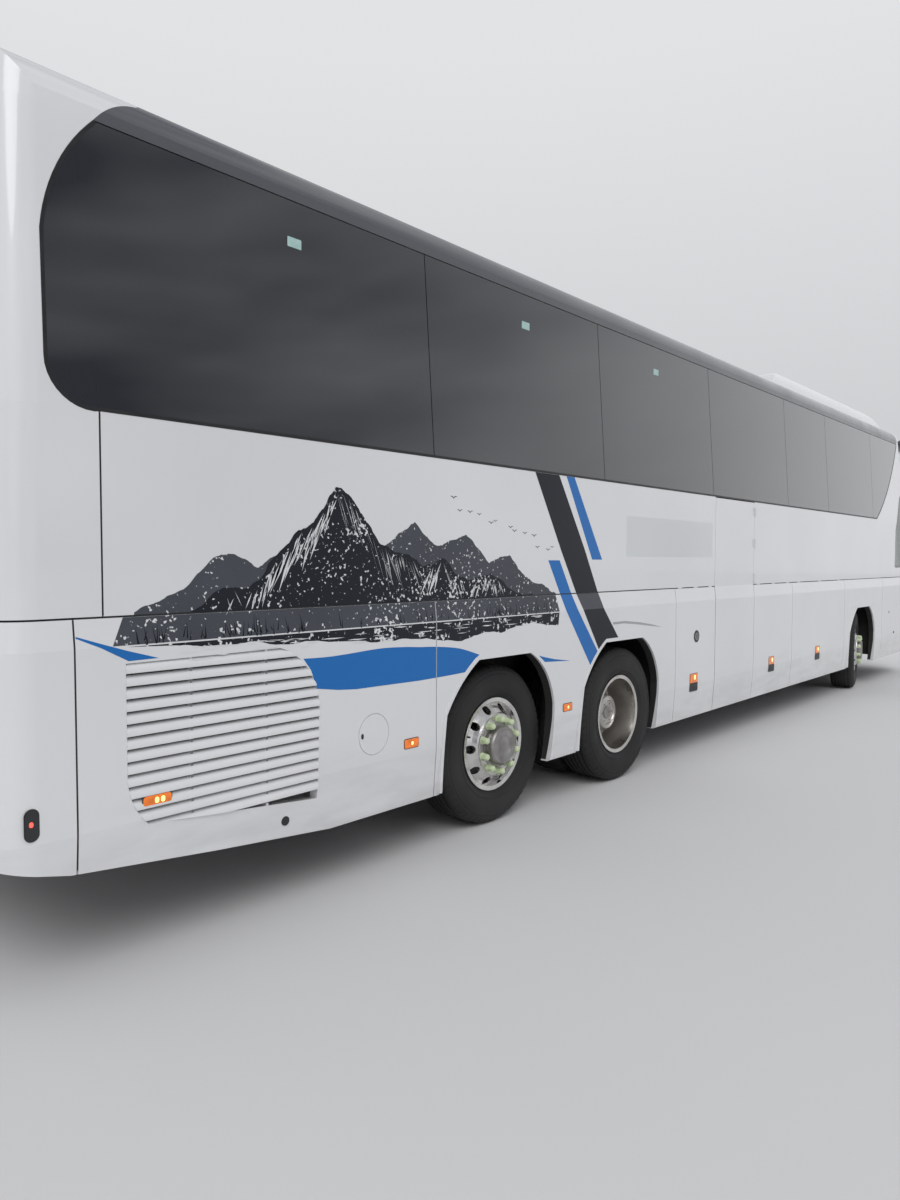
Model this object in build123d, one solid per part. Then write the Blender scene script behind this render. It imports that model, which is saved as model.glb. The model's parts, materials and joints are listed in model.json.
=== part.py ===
from build123d import *
import os

# Three-axle touring coach, one STEP file per named piece.
# Lengths are in mm. +X points forward, +Y to the left side, +Z up, the ground is z = 0.
# A station s is the distance forward from the rear end of the body.

os.makedirs("parts", exist_ok=True)

# Body size
body_length = 13800
body_width = 2550
mirror_reach = 300
lip_out = 4
half_width = body_width / 2 - lip_out
rear_x = -(body_length + mirror_reach) / 2

# Body heights
skirt_z = 330
bulge_z = 620
bevel_z = 1350
waist_z = 1470
sill_z = 2285
head_z = 3440
roof_edge_z = 3622
roof_z = 3710

# Body section
skirt_tuck = 22
waist_inset = 13
tumblehome = 80
roof_edge_y = 1085
wall_half = half_width - waist_inset
head_half = wall_half - tumblehome
wall_t = 55
glass_t = 24
seam = 8
glass_seam = 6
panel_joint = 0.3
lean = tumblehome / (head_z - sill_z)

# Body plan
rear_bow = 60
nose_bow = 300
rear_corner_r = 150
nose_corner_r = 300

# Wheels
tag_s = 3130
drive_s = 4630
front_s = 10990
tyre_r = 515
tyre_w = 298
bead_r = 285
flange_r = 300
rim_w = 240
single_y = 1031
outer_twin_y = 1086
inner_twin_y = 746
spindle_r = 45
spindle_gap = 0.4
hub_r = 140

# Steering
kingpin_y = 870
kingpin_r = 24
steer_rest = 12

# Frame
rail_in = 380
rail_out = 460
rail_h = 140
rail_rear_z = 560
rail_axle_z = 680
rail_hold_z = 350
hold_z = 440
plate_t = 8

# Cabin
floor_z = 1500
floor_t = 60
platform_z = 900
aisle_half = 230
seat_pitch = 790
seat_width = 900

# Panel seams along the lower right side
bumper_s = 345
engine_s = 2447
hold_rear_s = 5477
exit_rear_s = 6270
exit_front_s = 7187
flap_s = 8277
hold_front_s = 10150
nose_s = 11900
upper_rear_s = 467
nose_panel_s = 13050
nose_split_z = 1300

# Passenger door in the left side
door_rear_s = 12150
door_front_s = 13000
door_arm = 560


def at(s):
    return rear_x + s


def block(s0, s1, y0, y1, z0, z1):
    centre = (at((s0 + s1) / 2), (y0 + y1) / 2, (z0 + z1) / 2)
    return Pos(*centre) * Box(s1 - s0, y1 - y0, z1 - z0)


def both(shape):
    return shape + mirror(shape, Plane.XZ)


def side_face(edges):
    # A closed outline in station and height
    return Plane.XZ * make_face(edges)


def side_prism(points, corner=0):
    # A polygon in station and height, cut through the whole width
    outline = make_face(Polyline(*[(at(s), z) for s, z in points], close=True))
    if corner:
        outline = fillet(outline.vertices(), corner)
    return extrude(Plane.XZ * outline, 1500, both=True)


def group(*shapes):
    return Compound(children=[solid for shape in shapes for solid in shape.solids()])


def plan_section(z, half, rear_in, front_in, inset):
    # The body's outline seen from above at one height
    w = half - inset
    x0 = at(rear_in + inset)
    x1 = at(body_length - front_in - inset)
    outline = make_face([
        Line((x1 - nose_bow, -w), (x0 + rear_bow, -w)),
        ThreePointArc((x0 + rear_bow, -w), (x0, 0), (x0 + rear_bow, w)),
        Line((x0 + rear_bow, w), (x1 - nose_bow, w)),
        ThreePointArc((x1 - nose_bow, w), (x1, 0), (x1 - nose_bow, -w)),
    ])
    corners = outline.vertices().sort_by(Axis.X)
    outline = fillet(corners[:2], rear_corner_r - inset)
    corners = outline.vertices().sort_by(Axis.X)
    outline = fillet(corners[-2:], nose_corner_r - inset)
    return Plane.XY.offset(z) * outline


# Body outline by height: height, half width, rear inset, front inset
body_rows = [
    (skirt_z, half_width - skirt_tuck, 30, 60),
    (bulge_z, half_width, 0, 0),
    (bevel_z, half_width, 0, 25),
    (waist_z, wall_half, 15, 50),
    (sill_z, wall_half, 35, 190),
    (head_z, head_half, 85, 415),
    (roof_z + 90, head_half - 32, 115, 560),
]


def hull(inset):
    # The body's outer form, moved inwards by inset
    rows = []
    for z, half, rear_in, front_in in body_rows:
        low = 60 if z == skirt_z and inset else 0
        rows.append(plan_section(z - low, half, rear_in, front_in, inset))
    form = loft(rows, ruled=True)
    foot = head_half + 3 - inset + (head_z - 200) * lean
    top = head_half + 3 - inset
    edge = roof_edge_y - inset * 0.5
    edge_z = roof_edge_z - inset * 0.85
    section = make_face([
        Line((-foot, 200), (foot, 200)),
        Line((foot, 200), (top, head_z)),
        ThreePointArc((top, head_z), (top - 28, head_z + 105 - inset * 0.4), (edge, edge_z)),
        ThreePointArc((edge, edge_z), (0, roof_z - inset), (-edge, edge_z)),
        ThreePointArc((-edge, edge_z), (28 - top, head_z + 105 - inset * 0.4), (-top, head_z)),
        Line((-top, head_z), (-foot, 200)),
    ])
    form = form & extrude(Plane.YZ * section, body_length, both=True)
    profile = side_face([
        Line((at(-200), 200), (at(body_length + 300), 200)),
        Line((at(body_length + 300), 200), (at(body_length + 300), 3000)),
        Line((at(body_length + 300), 3000), (at(13430 - inset), 3480 - inset)),
        ThreePointArc((at(13430 - inset), 3480 - inset), (at(12850), 3680 - inset), (at(12000), 3725 - inset)),
        Line((at(12000), 3725 - inset), (at(520), 3725 - inset)),
        ThreePointArc((at(520), 3725 - inset), (at(170 + inset), 3630 - inset), (at(60 + inset), 3440)),
        Line((at(60 + inset), 3440), (at(-200), 3000)),
        Line((at(-200), 3000), (at(-200), 200)),
    ])
    return form & extrude(profile, 1500, both=True)


outer = hull(0)
glazed = hull(glass_t)
inner = hull(wall_t)
shell = outer - inner
glass_layer = outer - glazed

# Dark band of side glass and cantrail, seen from the side
band = extrude(side_face([
    Line((at(474), sill_z), (at(11569), sill_z)),
    ThreePointArc((at(11569), sill_z), (at(12270), 2775), (at(12820), head_z)),
    Line((at(12820), head_z), (at(12960), 3660)),
    Line((at(12960), 3660), (at(800), 3660)),
    Line((at(800), 3660), (at(720), 3600)),
    ThreePointArc((at(720), 3600), (at(590), 3532), (at(503), 3447)),
    ThreePointArc((at(503), 3447), (at(346), 3218), (at(267), 2952)),
    Line((at(267), 2952), (at(260), 2469)),
    ThreePointArc((at(260), 2469), (at(326), 2325), (at(474), sill_z)),
]), 1500, both=True)

# Arch outlines rake backwards. Each is drawn from its axle to the lip's outer edge.
# Columns: station, how far back the rear foot is, how far the front edge is moved forward
arch_rows = [
    (tag_s, 662, 0),
    (drive_s, 690, 20),
    (front_s, 680, 20),
]
arch_top = 1117
arch_shoulder_z = 800
arch_foot_z = 200
lip_w = 22


def arch_outline(s, foot, ahead):
    shoulder = 612
    rear_top = (at(s - 300), arch_top)
    rear_shoulder = (at(s - shoulder), arch_shoulder_z)
    rear_foot = (at(s - foot), arch_foot_z)
    front_top = (at(s + ahead + 250), arch_top)
    front_shoulder = (at(s + ahead + 548), 720)
    front_foot = (at(s + ahead + 462), arch_foot_z)
    outline = make_face([
        ThreePointArc(rear_foot, (at(s - (foot + shoulder) / 2 - 6), 540), rear_shoulder),
        ThreePointArc(rear_shoulder, (at(s - 485), 968), rear_top),
        Line(rear_top, front_top),
        ThreePointArc(front_top, (at(s + ahead + 455), 950), front_shoulder),
        ThreePointArc(front_shoulder, (at(s + ahead + 532), 500), front_foot),
        Line(front_foot, rear_foot),
    ])
    corners = outline.vertices().filter_by(lambda v: v.Y > arch_top - 1)
    return fillet(corners, 36)


arches = []
lips = []
for row in arch_rows:
    outline = arch_outline(*row)
    arch = extrude(Plane.XZ * offset(outline, -lip_w), 1500, both=True)
    ring = extrude(Plane.XZ * outline, 1500, both=True) - arch
    s = row[0]
    lip = ring & both(block(s - 800, s + 700, half_width - 35, half_width + lip_out, skirt_z + 15, 1300))
    arches.append(arch)
    lips.append(lip)

# A brow stands out above the front wheel
brow_face = side_face([
    ThreePointArc((at(front_s - 560), 1105), (at(front_s + 110), 1216), (at(front_s + 780), 1105)),
    Line((at(front_s + 780), 1105), (at(front_s - 560), 1105)),
])
brow_zone = both(block(10000, 12000, half_width - 20, half_width + lip_out, 1000, 1300))
brow = extrude(brow_face, 1500, both=True) & brow_zone

# The body's lower edge rises towards the tail
tail_rise = side_prism([
    (-100, 200), (-100, 545), (60, 530), (320, 465), (990, 392), (1660, skirt_z), (1800, 200),
])


def lower_panel(side, s0, s1):
    # A piece of the lower side between two seams
    y0, y1 = (700, 1400) if side > 0 else (-1400, -700)
    return shell & block(s0 + seam / 2, s1 - seam / 2, y0, y1, 200, waist_z - seam / 2)


# Grille outline in the engine's side panel
grille_edges = [
    Line((at(554), 830), (at(554), 1277)),
    Line((at(554), 1277), (at(1334), 1282)),
    ThreePointArc((at(1334), 1282), (at(1510), 1160), (at(1572), 940)),
    Line((at(1572), 940), (at(1560), 510)),
    Line((at(1560), 510), (at(644), 597)),
    ThreePointArc((at(644), 597), (at(575), 700), (at(554), 830)),
]
grille_hole = extrude(side_face(grille_edges), 1500, both=True)

engine_panels = lower_panel(1, bumper_s, engine_s) + lower_panel(-1, bumper_s, engine_s)
engine_panels = engine_panels - tail_rise - grille_hole

# A shallow ring marks the round filler flap
filler_ring = Pos(at(1949), 0, 774) * Rotation(90, 0, 0) * (Cylinder(112, 3000) - Cylinder(108, 3000))
engine_panels = engine_panels - (filler_ring & both(block(1700, 2200, half_width - 5, 1400, 600, 900)))
arch_panels = lower_panel(1, engine_s, hold_rear_s) + lower_panel(-1, engine_s, hold_rear_s)
arch_lips = (lips[0] + lips[1]) & block(engine_s + seam / 2, hold_rear_s, -1400, 1400, 200, 1400)
arch_panels = arch_panels - arches[0] - arches[1] + arch_lips
nose_arch_panels = lower_panel(1, hold_front_s, nose_s) + lower_panel(-1, hold_front_s, nose_s)
nose_arch_panels = nose_arch_panels + brow - arches[2] + lips[2]
door_post = lower_panel(1, nose_s, door_rear_s)

lower_all = group(engine_panels, arch_panels, nose_arch_panels, door_post)
lower_right = group(*[solid for solid in lower_all.solids() if solid.center().Y < 0])
lower_left = group(*[solid for solid in lower_all.solids() if solid.center().Y > 0])

# Luggage flaps: name, side, rear seam, front seam
flap_rows = [
    ("flap_right_rear", -1, hold_rear_s, exit_rear_s),
    ("flap_right_middle", -1, exit_front_s, flap_s),
    ("flap_right_front", -1, flap_s, hold_front_s),
    ("flap_left_rear", 1, hold_rear_s, 7036),
    ("flap_left_middle", 1, 7036, 8592),
    ("flap_left_front", 1, 8592, hold_front_s),
]

# Flaps hang on round knuckles in the seam, just under the wall's lower edge
knuckle_r = seam / 2 - 0.3
knuckle_w = 70


def flap(side, s0, s1):
    shape = lower_panel(side, s0, s1)
    for share in (0.12, 0.5, 0.88):
        s = s0 + (s1 - s0) * share
        web = block(s - knuckle_w / 2, s + knuckle_w / 2, wall_half - 6, wall_half, waist_z - 8, waist_z)
        bar = Pos(at(s), wall_half, waist_z) * Rotation(0, 90, 0) * Cylinder(knuckle_r, knuckle_w)
        piece = web + bar
        shape = shape + (piece if side > 0 else mirror(piece, Plane.XZ))
    return shape


flaps = {name: flap(side, s0, s1) for name, side, s0, s1 in flap_rows}

# Doors
exit_box = block(exit_rear_s, exit_front_s, -1400, -700, 200, sill_z)
exit_door = shell & block(exit_rear_s + seam / 2, exit_front_s - seam / 2, -1400, -700, 200, sill_z - seam)

# The emergency door turns on three knuckles, proud of the wall so that its lower part swings clear
exit_pin_y = -half_width - 1
exit_knuckle_r = 2.7
exit_tabs = []
for z in (1540, 1880, 2190):
    tab = block(exit_front_s - 10, exit_front_s, exit_pin_y - exit_knuckle_r, exit_pin_y + 20, z - 40, z + 40)
    bar = Pos(at(exit_front_s), exit_pin_y, z) * Cylinder(exit_knuckle_r, 80)
    exit_door = exit_door + (tab - block(exit_front_s - 4, exit_front_s, exit_pin_y, -1200, z - 40, z + 40)) + bar
    exit_tabs.append(block(exit_front_s + exit_knuckle_r + 0.3, exit_front_s + 14, exit_pin_y - exit_knuckle_r,
                           exit_pin_y + 20, z - 40, z + 40))
door_box = block(door_rear_s, door_front_s, 700, 1400, 200, sill_z)
door_leaf = shell & block(door_rear_s + seam / 2, door_front_s - seam / 2, 700, 1400, 200, sill_z - seam)
door_light = side_prism([
    (door_rear_s + 90, 1000), (door_front_s - 90, 1000), (door_front_s - 90, sill_z - 90),
    (door_rear_s + 90, sill_z - 90),
], 60)
door_light_seat = side_prism([
    (door_rear_s + 60, 970), (door_front_s - 60, 970), (door_front_s - 60, sill_z - 60),
    (door_rear_s + 60, sill_z - 60),
], 80)
door_glass = glass_layer & door_light_seat & block(door_rear_s, door_front_s, 700, 1400, 200, sill_z)
door_leaf = door_leaf - (glass_layer & door_light_seat) - door_light

# Rear bumper with its corners, and the engine lid between them
lid_half = 720
lid_low_z = 760
rear_low = shell & block(-100, bumper_s - seam / 2, -1400, 1400, 200, waist_z - seam / 2)
lid = rear_low & block(-100, bumper_s, -lid_half + seam / 2, lid_half - seam / 2, lid_low_z + seam / 2, waist_z)

# The lid's knuckles stand level with the middle of the bowed rear face
lid_pin_s = 12
lid_knuckles = (-480, 0, 480)
lid_tabs = []
for y in lid_knuckles:
    lid = lid + block(lid_pin_s, lid_pin_s + 22, y - 35, y + 35, waist_z - 8, waist_z)
    lid = lid + Pos(at(lid_pin_s), y, waist_z) * Rotation(90, 0, 0) * Cylinder(knuckle_r, 70)
    lid_tabs.append(block(lid_pin_s, lid_pin_s + 22, y - 35, y + 35, waist_z + seam / 2, waist_z + seam / 2 + 8))
for i in range(6):
    z = 900 + 38 * i
    lid = lid - block(-100, 300, -520, 520, z, z + 14)
rear_bumper = rear_low - block(-100, bumper_s, -lid_half - seam / 2, lid_half + seam / 2, lid_low_z - seam / 2, waist_z)
rear_bumper = rear_bumper - tail_rise
tail_lamp_box = both(block(-100, 140, 960, 1180, 880, 1400))
tail_lamps = rear_bumper & tail_lamp_box
rear_bumper = rear_bumper - tail_lamp_box

# Nose: bumper, headlamps, front panel, windscreen
front_bumper = shell & (
    block(nose_s + seam / 2, nose_panel_s, -1400, -700, 200, waist_z - seam / 2)
    + block(nose_panel_s - 50, body_length + 200, -1400, 1400, 200, nose_split_z - seam / 2)
)
front_bumper = front_bumper - block(nose_s, door_front_s + seam / 2, 0, 1400, 200, waist_z)
for i in range(3):
    z = 470 + 40 * i
    front_bumper = front_bumper - block(13400, body_length + 200, -560, 560, z, z + 20)
headlamp_box = both(block(13250, body_length + 200, 720, 1130, 640, 820))
headlamps = front_bumper & headlamp_box
front_bumper = front_bumper - headlamp_box


def nose_prism(width, low, high, corner):
    # A rounded rectangle in the cross-section, run forward from the front axle
    outline = Pos(0, (low + high) / 2) * RectangleRounded(width, high - low, corner)
    return extrude(Plane.YZ.offset(at(12600)) * outline, 1600)


screen_seat = nose_prism(2260, 1340, 3420, 150)
screen_hole = nose_prism(2150, 1395, 3365, 110)
windscreen = glass_layer & screen_seat
front_panel = shell & block(nose_panel_s, body_length + 200, -1400, 1400, nose_split_z + seam / 2, 3900)
front_panel = front_panel - windscreen - screen_hole
windscreen = windscreen & block(nose_panel_s, body_length + 200, -1400, 1400, 1300, 3900)

# Rear wall with its window, and the corner that runs up over the roof
over_s = 745
over_z = 2900
rear_end_s = upper_rear_s - seam / 2
rear_wall = shell & (
    block(-100, rear_end_s, -1400, 1400, waist_z + seam / 2, 3900)
    + block(rear_end_s - 1, over_s, -1400, 1400, over_z, 3900)
)
for y0, y1 in ((roof_edge_y, 1400), (-1400, -roof_edge_y)):
    rear_wall = rear_wall - (glass_layer & block(-100, over_s + 50, y0, y1, 2000, 3900) & band)
    rear_wall = rear_wall - (band & block(rear_end_s, over_s + 50, y0, y1, over_z - 50, 3900))
rear_section = Plane.YZ.offset(at(-200))
rear_light = extrude(rear_section * (Pos(0, 2830) * RectangleRounded(1780, 860, 120)), 700)
rear_seat = extrude(rear_section * (Pos(0, 2830) * RectangleRounded(1880, 960, 150)), 700)
rear_window = glass_layer & rear_seat
rear_wall = rear_wall - rear_window - rear_light
for tab in lid_tabs:
    rear_wall = rear_wall + tab

# Side walls, cut for glass, doors and windows; the right one is the left one mirrored
side_zone = block(upper_rear_s + seam / 2, nose_panel_s, roof_edge_y, 1400, waist_z + seam / 2, 3900)
rear_over = block(upper_rear_s, over_s, 500, 1400, over_z, 3900) - band
pane_seams = [2440, 4320, 6225, 8130, 9490, 11400]
pillar = 50
light_low = sill_z + 60
light_high = head_z - 60
window_cuts = [side_prism([
    (pane_seams[-1] + pillar, light_low), (pane_seams[-1] + 200, light_low), (12690, light_high),
    (pane_seams[-1] + pillar, light_high),
])]
for s0, s1 in zip([480 - pillar] + pane_seams[:-1], pane_seams):
    window_cuts.append(block(s0 + pillar, s1 - pillar, 900, 1400, light_low, light_high))
side_wall = (shell & side_zone) - (glass_layer & side_zone & band) - rear_over - window_cuts
side_wall = side_wall.solids().sort_by(SortBy.VOLUME)[-1]
# The left wall is in three panels round the passenger door: behind it, over it and ahead of it
wall_joints = block(door_rear_s, door_rear_s + panel_joint, 1000, 1400, waist_z, 3900)
wall_joints = wall_joints + block(door_rear_s, nose_panel_s, 1000, 1400, sill_z, sill_z + panel_joint)
side_wall_left = side_wall - door_box - wall_joints
side_wall_right = mirror(side_wall, Plane.XZ) - exit_box
driver_light = side_prism([(12600, 1640), (13000, 1640), (13000, 2700), (12850, 2620), (12600, 2160)], 35)
driver_seat_cut = side_prism([(12570, 1610), (13030, 1610), (13030, 2750), (12830, 2650), (12570, 2170)], 50)
driver_window = glass_layer & driver_seat_cut & block(0, body_length, -1400, 0, 0, 4000)
side_wall_right = side_wall_right - driver_window - driver_light
for tab in exit_tabs:
    side_wall_right = side_wall_right + tab

# Side glass in panes, each a flat slab leaning with the wall, and the cantrail strip above it
def lean_y(z):
    return wall_half - (z - sill_z) * lean


glass_section = make_face(Polyline(
    (lean_y(2200), 2200), (lean_y(head_z - 2), head_z - 2),
    (lean_y(head_z - 2) - glass_t, head_z - 2), (lean_y(2200) - glass_t, 2200), close=True,
))
band_glass = glass_layer & band
side_glass = extrude(Plane.YZ * glass_section, body_length, both=True) & band
for s in pane_seams:
    side_glass = side_glass - block(s - glass_seam / 2, s + glass_seam / 2, 0, 1400, 2000, 3900)
side_glass = group(side_glass, mirror(side_glass, Plane.XZ))
cantrails = band_glass & both(block(0, nose_panel_s, roof_edge_y + 3, 1400, head_z + 4, 3900))

# Roof and the unit on it
roof = shell & block(over_s, nose_panel_s, -roof_edge_y, roof_edge_y, 3300, 3900)
for s in (3300, 6700):
    hatch = block(s - 330, s + 330, -330, 330, roof_z - 40, roof_z + 26)
    roof = roof + fillet(hatch.edges().filter_by(Axis.Z) + hatch.edges().group_by(Axis.Z)[-1], 18)
unit_side = side_face([
    Line((at(8120), 3500), (at(12600), 3500)),
    ThreePointArc((at(12600), 3500), (at(12300), 3720), (at(11600), 3800)),
    ThreePointArc((at(11600), 3800), (at(10200), 3862), (at(9200), 3848)),
    ThreePointArc((at(9200), 3848), (at(8450), 3790), (at(8120), 3640)),
    Line((at(8120), 3640), (at(8120), 3500)),
])
unit_section = make_face([
    Line((-1040, 3500), (1040, 3500)),
    ThreePointArc((1040, 3500), (1010, 3740), (900, 3840)),
    ThreePointArc((900, 3840), (0, 3900), (-900, 3840)),
    ThreePointArc((-900, 3840), (-1010, 3740), (-1040, 3500)),
])
roof_unit = extrude(unit_side, 1500, both=True) & extrude(Plane.YZ * unit_section, body_length, both=True)
roof_unit = roof_unit - outer

# Engine side grilles: curved slats on two uprights
slat_pitch = 52
slat_count = 13
slat_top = 1256


def slat(z):
    profile = make_face([
        ThreePointArc((-1252, z + 23), (-1270, z + 8), (-1276, z - 20)),
        Line((-1276, z - 20), (-1268, z - 22)),
        ThreePointArc((-1268, z - 22), (-1262, z + 2), (-1246, z + 17)),
        Line((-1246, z + 17), (-1252, z + 23)),
    ])
    return extrude(Plane.YZ.offset(at(500)) * profile, 1120)


grille = slat(slat_top)
for i in range(1, slat_count + 1):
    grille = grille + slat(slat_top - i * slat_pitch)
for s in (850, 1250):
    grille = grille + block(s, s + 12, -1264, -1234, 500, 1285)
grille = grille & grille_hole
grilles = group(grille, mirror(grille, Plane.XZ))

# Frame rails: station, bottom height, top height
rail_rows = [
    (60, rail_rear_z, rail_rear_z + rail_h),
    (2150, rail_rear_z, rail_rear_z + rail_h),
    (2400, rail_axle_z, rail_axle_z + rail_h),
    (5330, rail_axle_z, rail_axle_z + rail_h),
    (5455, rail_hold_z, hold_z),
    (10170, rail_hold_z, hold_z),
    (10300, rail_axle_z, rail_axle_z + rail_h),
    (11750, rail_axle_z, rail_axle_z + rail_h),
    (11950, rail_rear_z, rail_rear_z + rail_h),
    (13790, rail_rear_z, rail_rear_z + rail_h),
]
rail_points = [(s, low) for s, low, high in rail_rows] + [(s, high) for s, low, high in reversed(rail_rows)]
rail_side = make_face(Polyline(*[(at(s), z) for s, z in rail_points], close=True))
rail = Pos(0, rail_out, 0) * extrude(Plane.XZ * rail_side, rail_out - rail_in)
rails = both(rail)

# Cross members: station, low height, inner y, outer y
beam_h = 90
beam_w = 80
beam_rows = [
    (520, rail_rear_z + 20, rail_out, half_width),
    (1500, rail_rear_z + 20, rail_out, half_width),
    (2570, rail_axle_z + 75, 0, rail_in),
    (3800, rail_axle_z + 75, 0, rail_in),
    (5260, rail_axle_z + 20, 0, rail_in),
    (6300, rail_hold_z, 0, rail_in),
    (8200, rail_hold_z, 0, rail_in),
    (9800, rail_hold_z, 0, rail_in),
    (10420, rail_axle_z + 20, 0, rail_in),
    (11560, rail_axle_z + 20, 0, rail_in),
    (12050, rail_rear_z + 20, rail_out, half_width),
    (13400, rail_rear_z - 20, 0, half_width),
]
frame = rails
for s, z, y0, y1 in beam_rows:
    piece = block(s, s + beam_w, y0, y1, z, z + beam_h) if y0 else block(s, s + beam_w, -y1, y1, z, z + beam_h)
    frame = frame + (both(piece) if y0 else piece)
frame = frame & inner

# Floors: cabin deck, luggage floor
flap_edge = 1190
deck = block(100, nose_s, -1400, 1400, floor_z - floor_t, floor_z) & inner
deck = deck - both(block(hold_rear_s - 10, hold_front_s + 10, flap_edge, 1400, floor_z - floor_t, waist_z + 8))
stair_rear = exit_rear_s - 30
stair_front = exit_front_s + 30
stair_in = 545
deck = deck - block(stair_rear, stair_front, -1400, -stair_in, 1000, 2000)
hold_floor = block(hold_rear_s - 12, hold_front_s + 15, -flap_edge, flap_edge, hold_z, hold_z + 20)
hold_floor = hold_floor - block(stair_rear, stair_front, -1400, -stair_in, 200, 1000)
bulkheads = (block(hold_rear_s - 37, hold_rear_s - 12, -1400, 1400, 400, floor_z - floor_t)
             + block(hold_front_s + 15, hold_front_s + 40, -1400, 1400, 400, floor_z - floor_t))
bulkheads = (bulkheads & inner) - frame

# Wheel tubs: start station, end station
tub_top = 1135
tub_rows = [
    (tag_s - 674, drive_s + 610),
    (front_s - 690, front_s + 640),
]
tubs = []
for s0, s1 in tub_rows:
    plates = block(s0, s1, rail_out, 1400, tub_top, tub_top + plate_t)
    plates = plates + block(s0, s1, rail_out, rail_out + plate_t, rail_axle_z, tub_top)
    for s in (s0 - plate_t, s1):
        plates = plates + block(s, s + plate_t, rail_out, 1400, 400, floor_z - floor_t)
    tubs.append(both(plates))
tubs = group(*[(tub & inner) - frame for tub in tubs])

# Steps behind the emergency door: a folded sheet between two cheeks
step_points = [(-1190, 420), (-985, 420), (-985, 760), (-775, 760), (-775, 1100), (-565, 1100),
               (-565, floor_z), (-545, floor_z), (-545, 1080), (-755, 1080), (-755, 740), (-965, 740),
               (-965, 400), (-1190, 400)]
step_face = make_face(Polyline(*step_points, close=True))
rear_steps = extrude(Plane.YZ.offset(at(stair_rear)) * step_face, stair_front - stair_rear)
for s in (stair_rear, stair_front - plate_t):
    rear_steps = rear_steps + block(s, s + plate_t, -1190, -stair_in, 400, floor_z)

# Front platform, its steps from the door and the steps up to the deck
entry_points = [(1190, 400), (1190, 420), (950, 420), (950, 660), (700, 660), (700, platform_z), (-1400, platform_z),
                (-1400, platform_z - 20), (680, platform_z - 20), (680, 640), (930, 640), (930, 400)]
entry_face = make_face(Polyline(*entry_points, close=True))
platform = extrude(Plane.YZ.offset(at(door_rear_s)) * entry_face, 13300 - door_rear_s)
platform = platform + block(nose_s, door_rear_s, -1400, 1400, platform_z - 20, platform_z)
for i, s in enumerate((nose_s, nose_s + 240)):
    riser = platform_z + (floor_z - platform_z) * (2 - i) / 3
    platform = platform + block(s, s + 240, -450, 450, riser - 20, riser)
    platform = platform + block(s + 220, s + 240, -450, 450, platform_z, riser)
platform = platform + block(nose_s, nose_s + 20, -1400, 1400, platform_z, floor_z)
platform = (platform & inner) - block(door_rear_s - 10, door_front_s + 10, 1190, 1400, 0, 3000)

# Dashboard
dash_side = side_face([
    Line((at(12900), platform_z), (at(13700), platform_z)),
    Line((at(13700), platform_z), (at(13700), 1500)),
    Line((at(13700), 1500), (at(13150), 1560)),
    ThreePointArc((at(13150), 1560), (at(13020), 1500), (at(12980), 1380)),
    Line((at(12980), 1380), (at(12900), platform_z)),
])
dashboard = extrude(dash_side, 1500, both=True) & block(12000, 14000, -1300, 650, 500, 2000)
dash_inner = hull(wall_t + 15)
dashboard = dashboard & dash_inner

# Seats
cushion = [(0, 430), (20, 300), (430, 320), (460, 420), (430, 450), (60, 440), (-120, 1120), (-180, 1160),
           (-220, 1120), (-70, 420)]


def seat(s, y, z, width):
    outline = make_face(Polyline(*[(at(s + a), z + b) for a, b in cushion], close=True))
    shape = extrude(Plane.XZ.offset(-y) * outline, width / 2, both=True)
    return shape + block(s + 60, s + 340, y - 60, y + 60, z, z + 310)


seats = []
seat_y = aisle_half + seat_width / 2 + 10
for i in range(13):
    s = 1100 + i * seat_pitch
    seats.append(seat(s, seat_y, floor_z, seat_width))
    if s + 480 < stair_rear or s - 240 > stair_front:
        seats.append(seat(s, -seat_y, floor_z, seat_width))
seats.append(seat(12250, -690, platform_z, 520))
seats = group(*seats)

# Engine, gearbox and propeller shaft
engine = block(480, 1950, -rail_in, rail_in, 520, 1330)
engine = chamfer(engine.edges().filter_by(Axis.X).group_by(Axis.Z)[-1], 90)
engine = engine + Pos(at(2240), 0, 700) * Rotation(0, 90, 0) * Cylinder(210, 620)
radiators = both(block(620, 1500, 900, 1180, 670, 1240) & inner)
shaft_start = Vector(at(2550), 0, 700)
shaft_end = Vector(at(4380), 0, 560)
run = shaft_end - shaft_start
propshaft = extrude(Plane(origin=shaft_start, z_dir=run) * Circle(50), run.length) - engine


def wheel_ring(points):
    # A turned form from radius and distance outboard of the wheel's centre plane
    return revolve(make_face(Polyline(*points, close=True)), Axis.Y)


def place(shape, s, side, y):
    # Put a left-hand wheel form at its station and side
    shape = Pos(at(s), y, tyre_r) * shape
    return shape if side > 0 else mirror(shape, Plane.XZ)


half_tyre = tyre_w / 2
tyre_form = revolve(make_face([
    Line((bead_r, -half_tyre + 34), (bead_r, half_tyre - 34)),
    Line((bead_r, half_tyre - 34), (flange_r + 12, half_tyre - 26)),
    ThreePointArc((flange_r + 12, half_tyre - 26), (tyre_r - 110, half_tyre), (tyre_r - 26, half_tyre - 16)),
    Line((tyre_r - 26, half_tyre - 16), (tyre_r - 4, half_tyre - 38)),
    ThreePointArc((tyre_r - 4, half_tyre - 38), (tyre_r, 0), (tyre_r - 4, 38 - half_tyre)),
    Line((tyre_r - 4, 38 - half_tyre), (tyre_r - 26, 16 - half_tyre)),
    ThreePointArc((tyre_r - 26, 16 - half_tyre), (tyre_r - 110, -half_tyre), (flange_r + 12, 26 - half_tyre)),
    Line((flange_r + 12, 26 - half_tyre), (bead_r, -half_tyre + 34)),
]), Axis.Y)

half_rim = rim_w / 2


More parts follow.
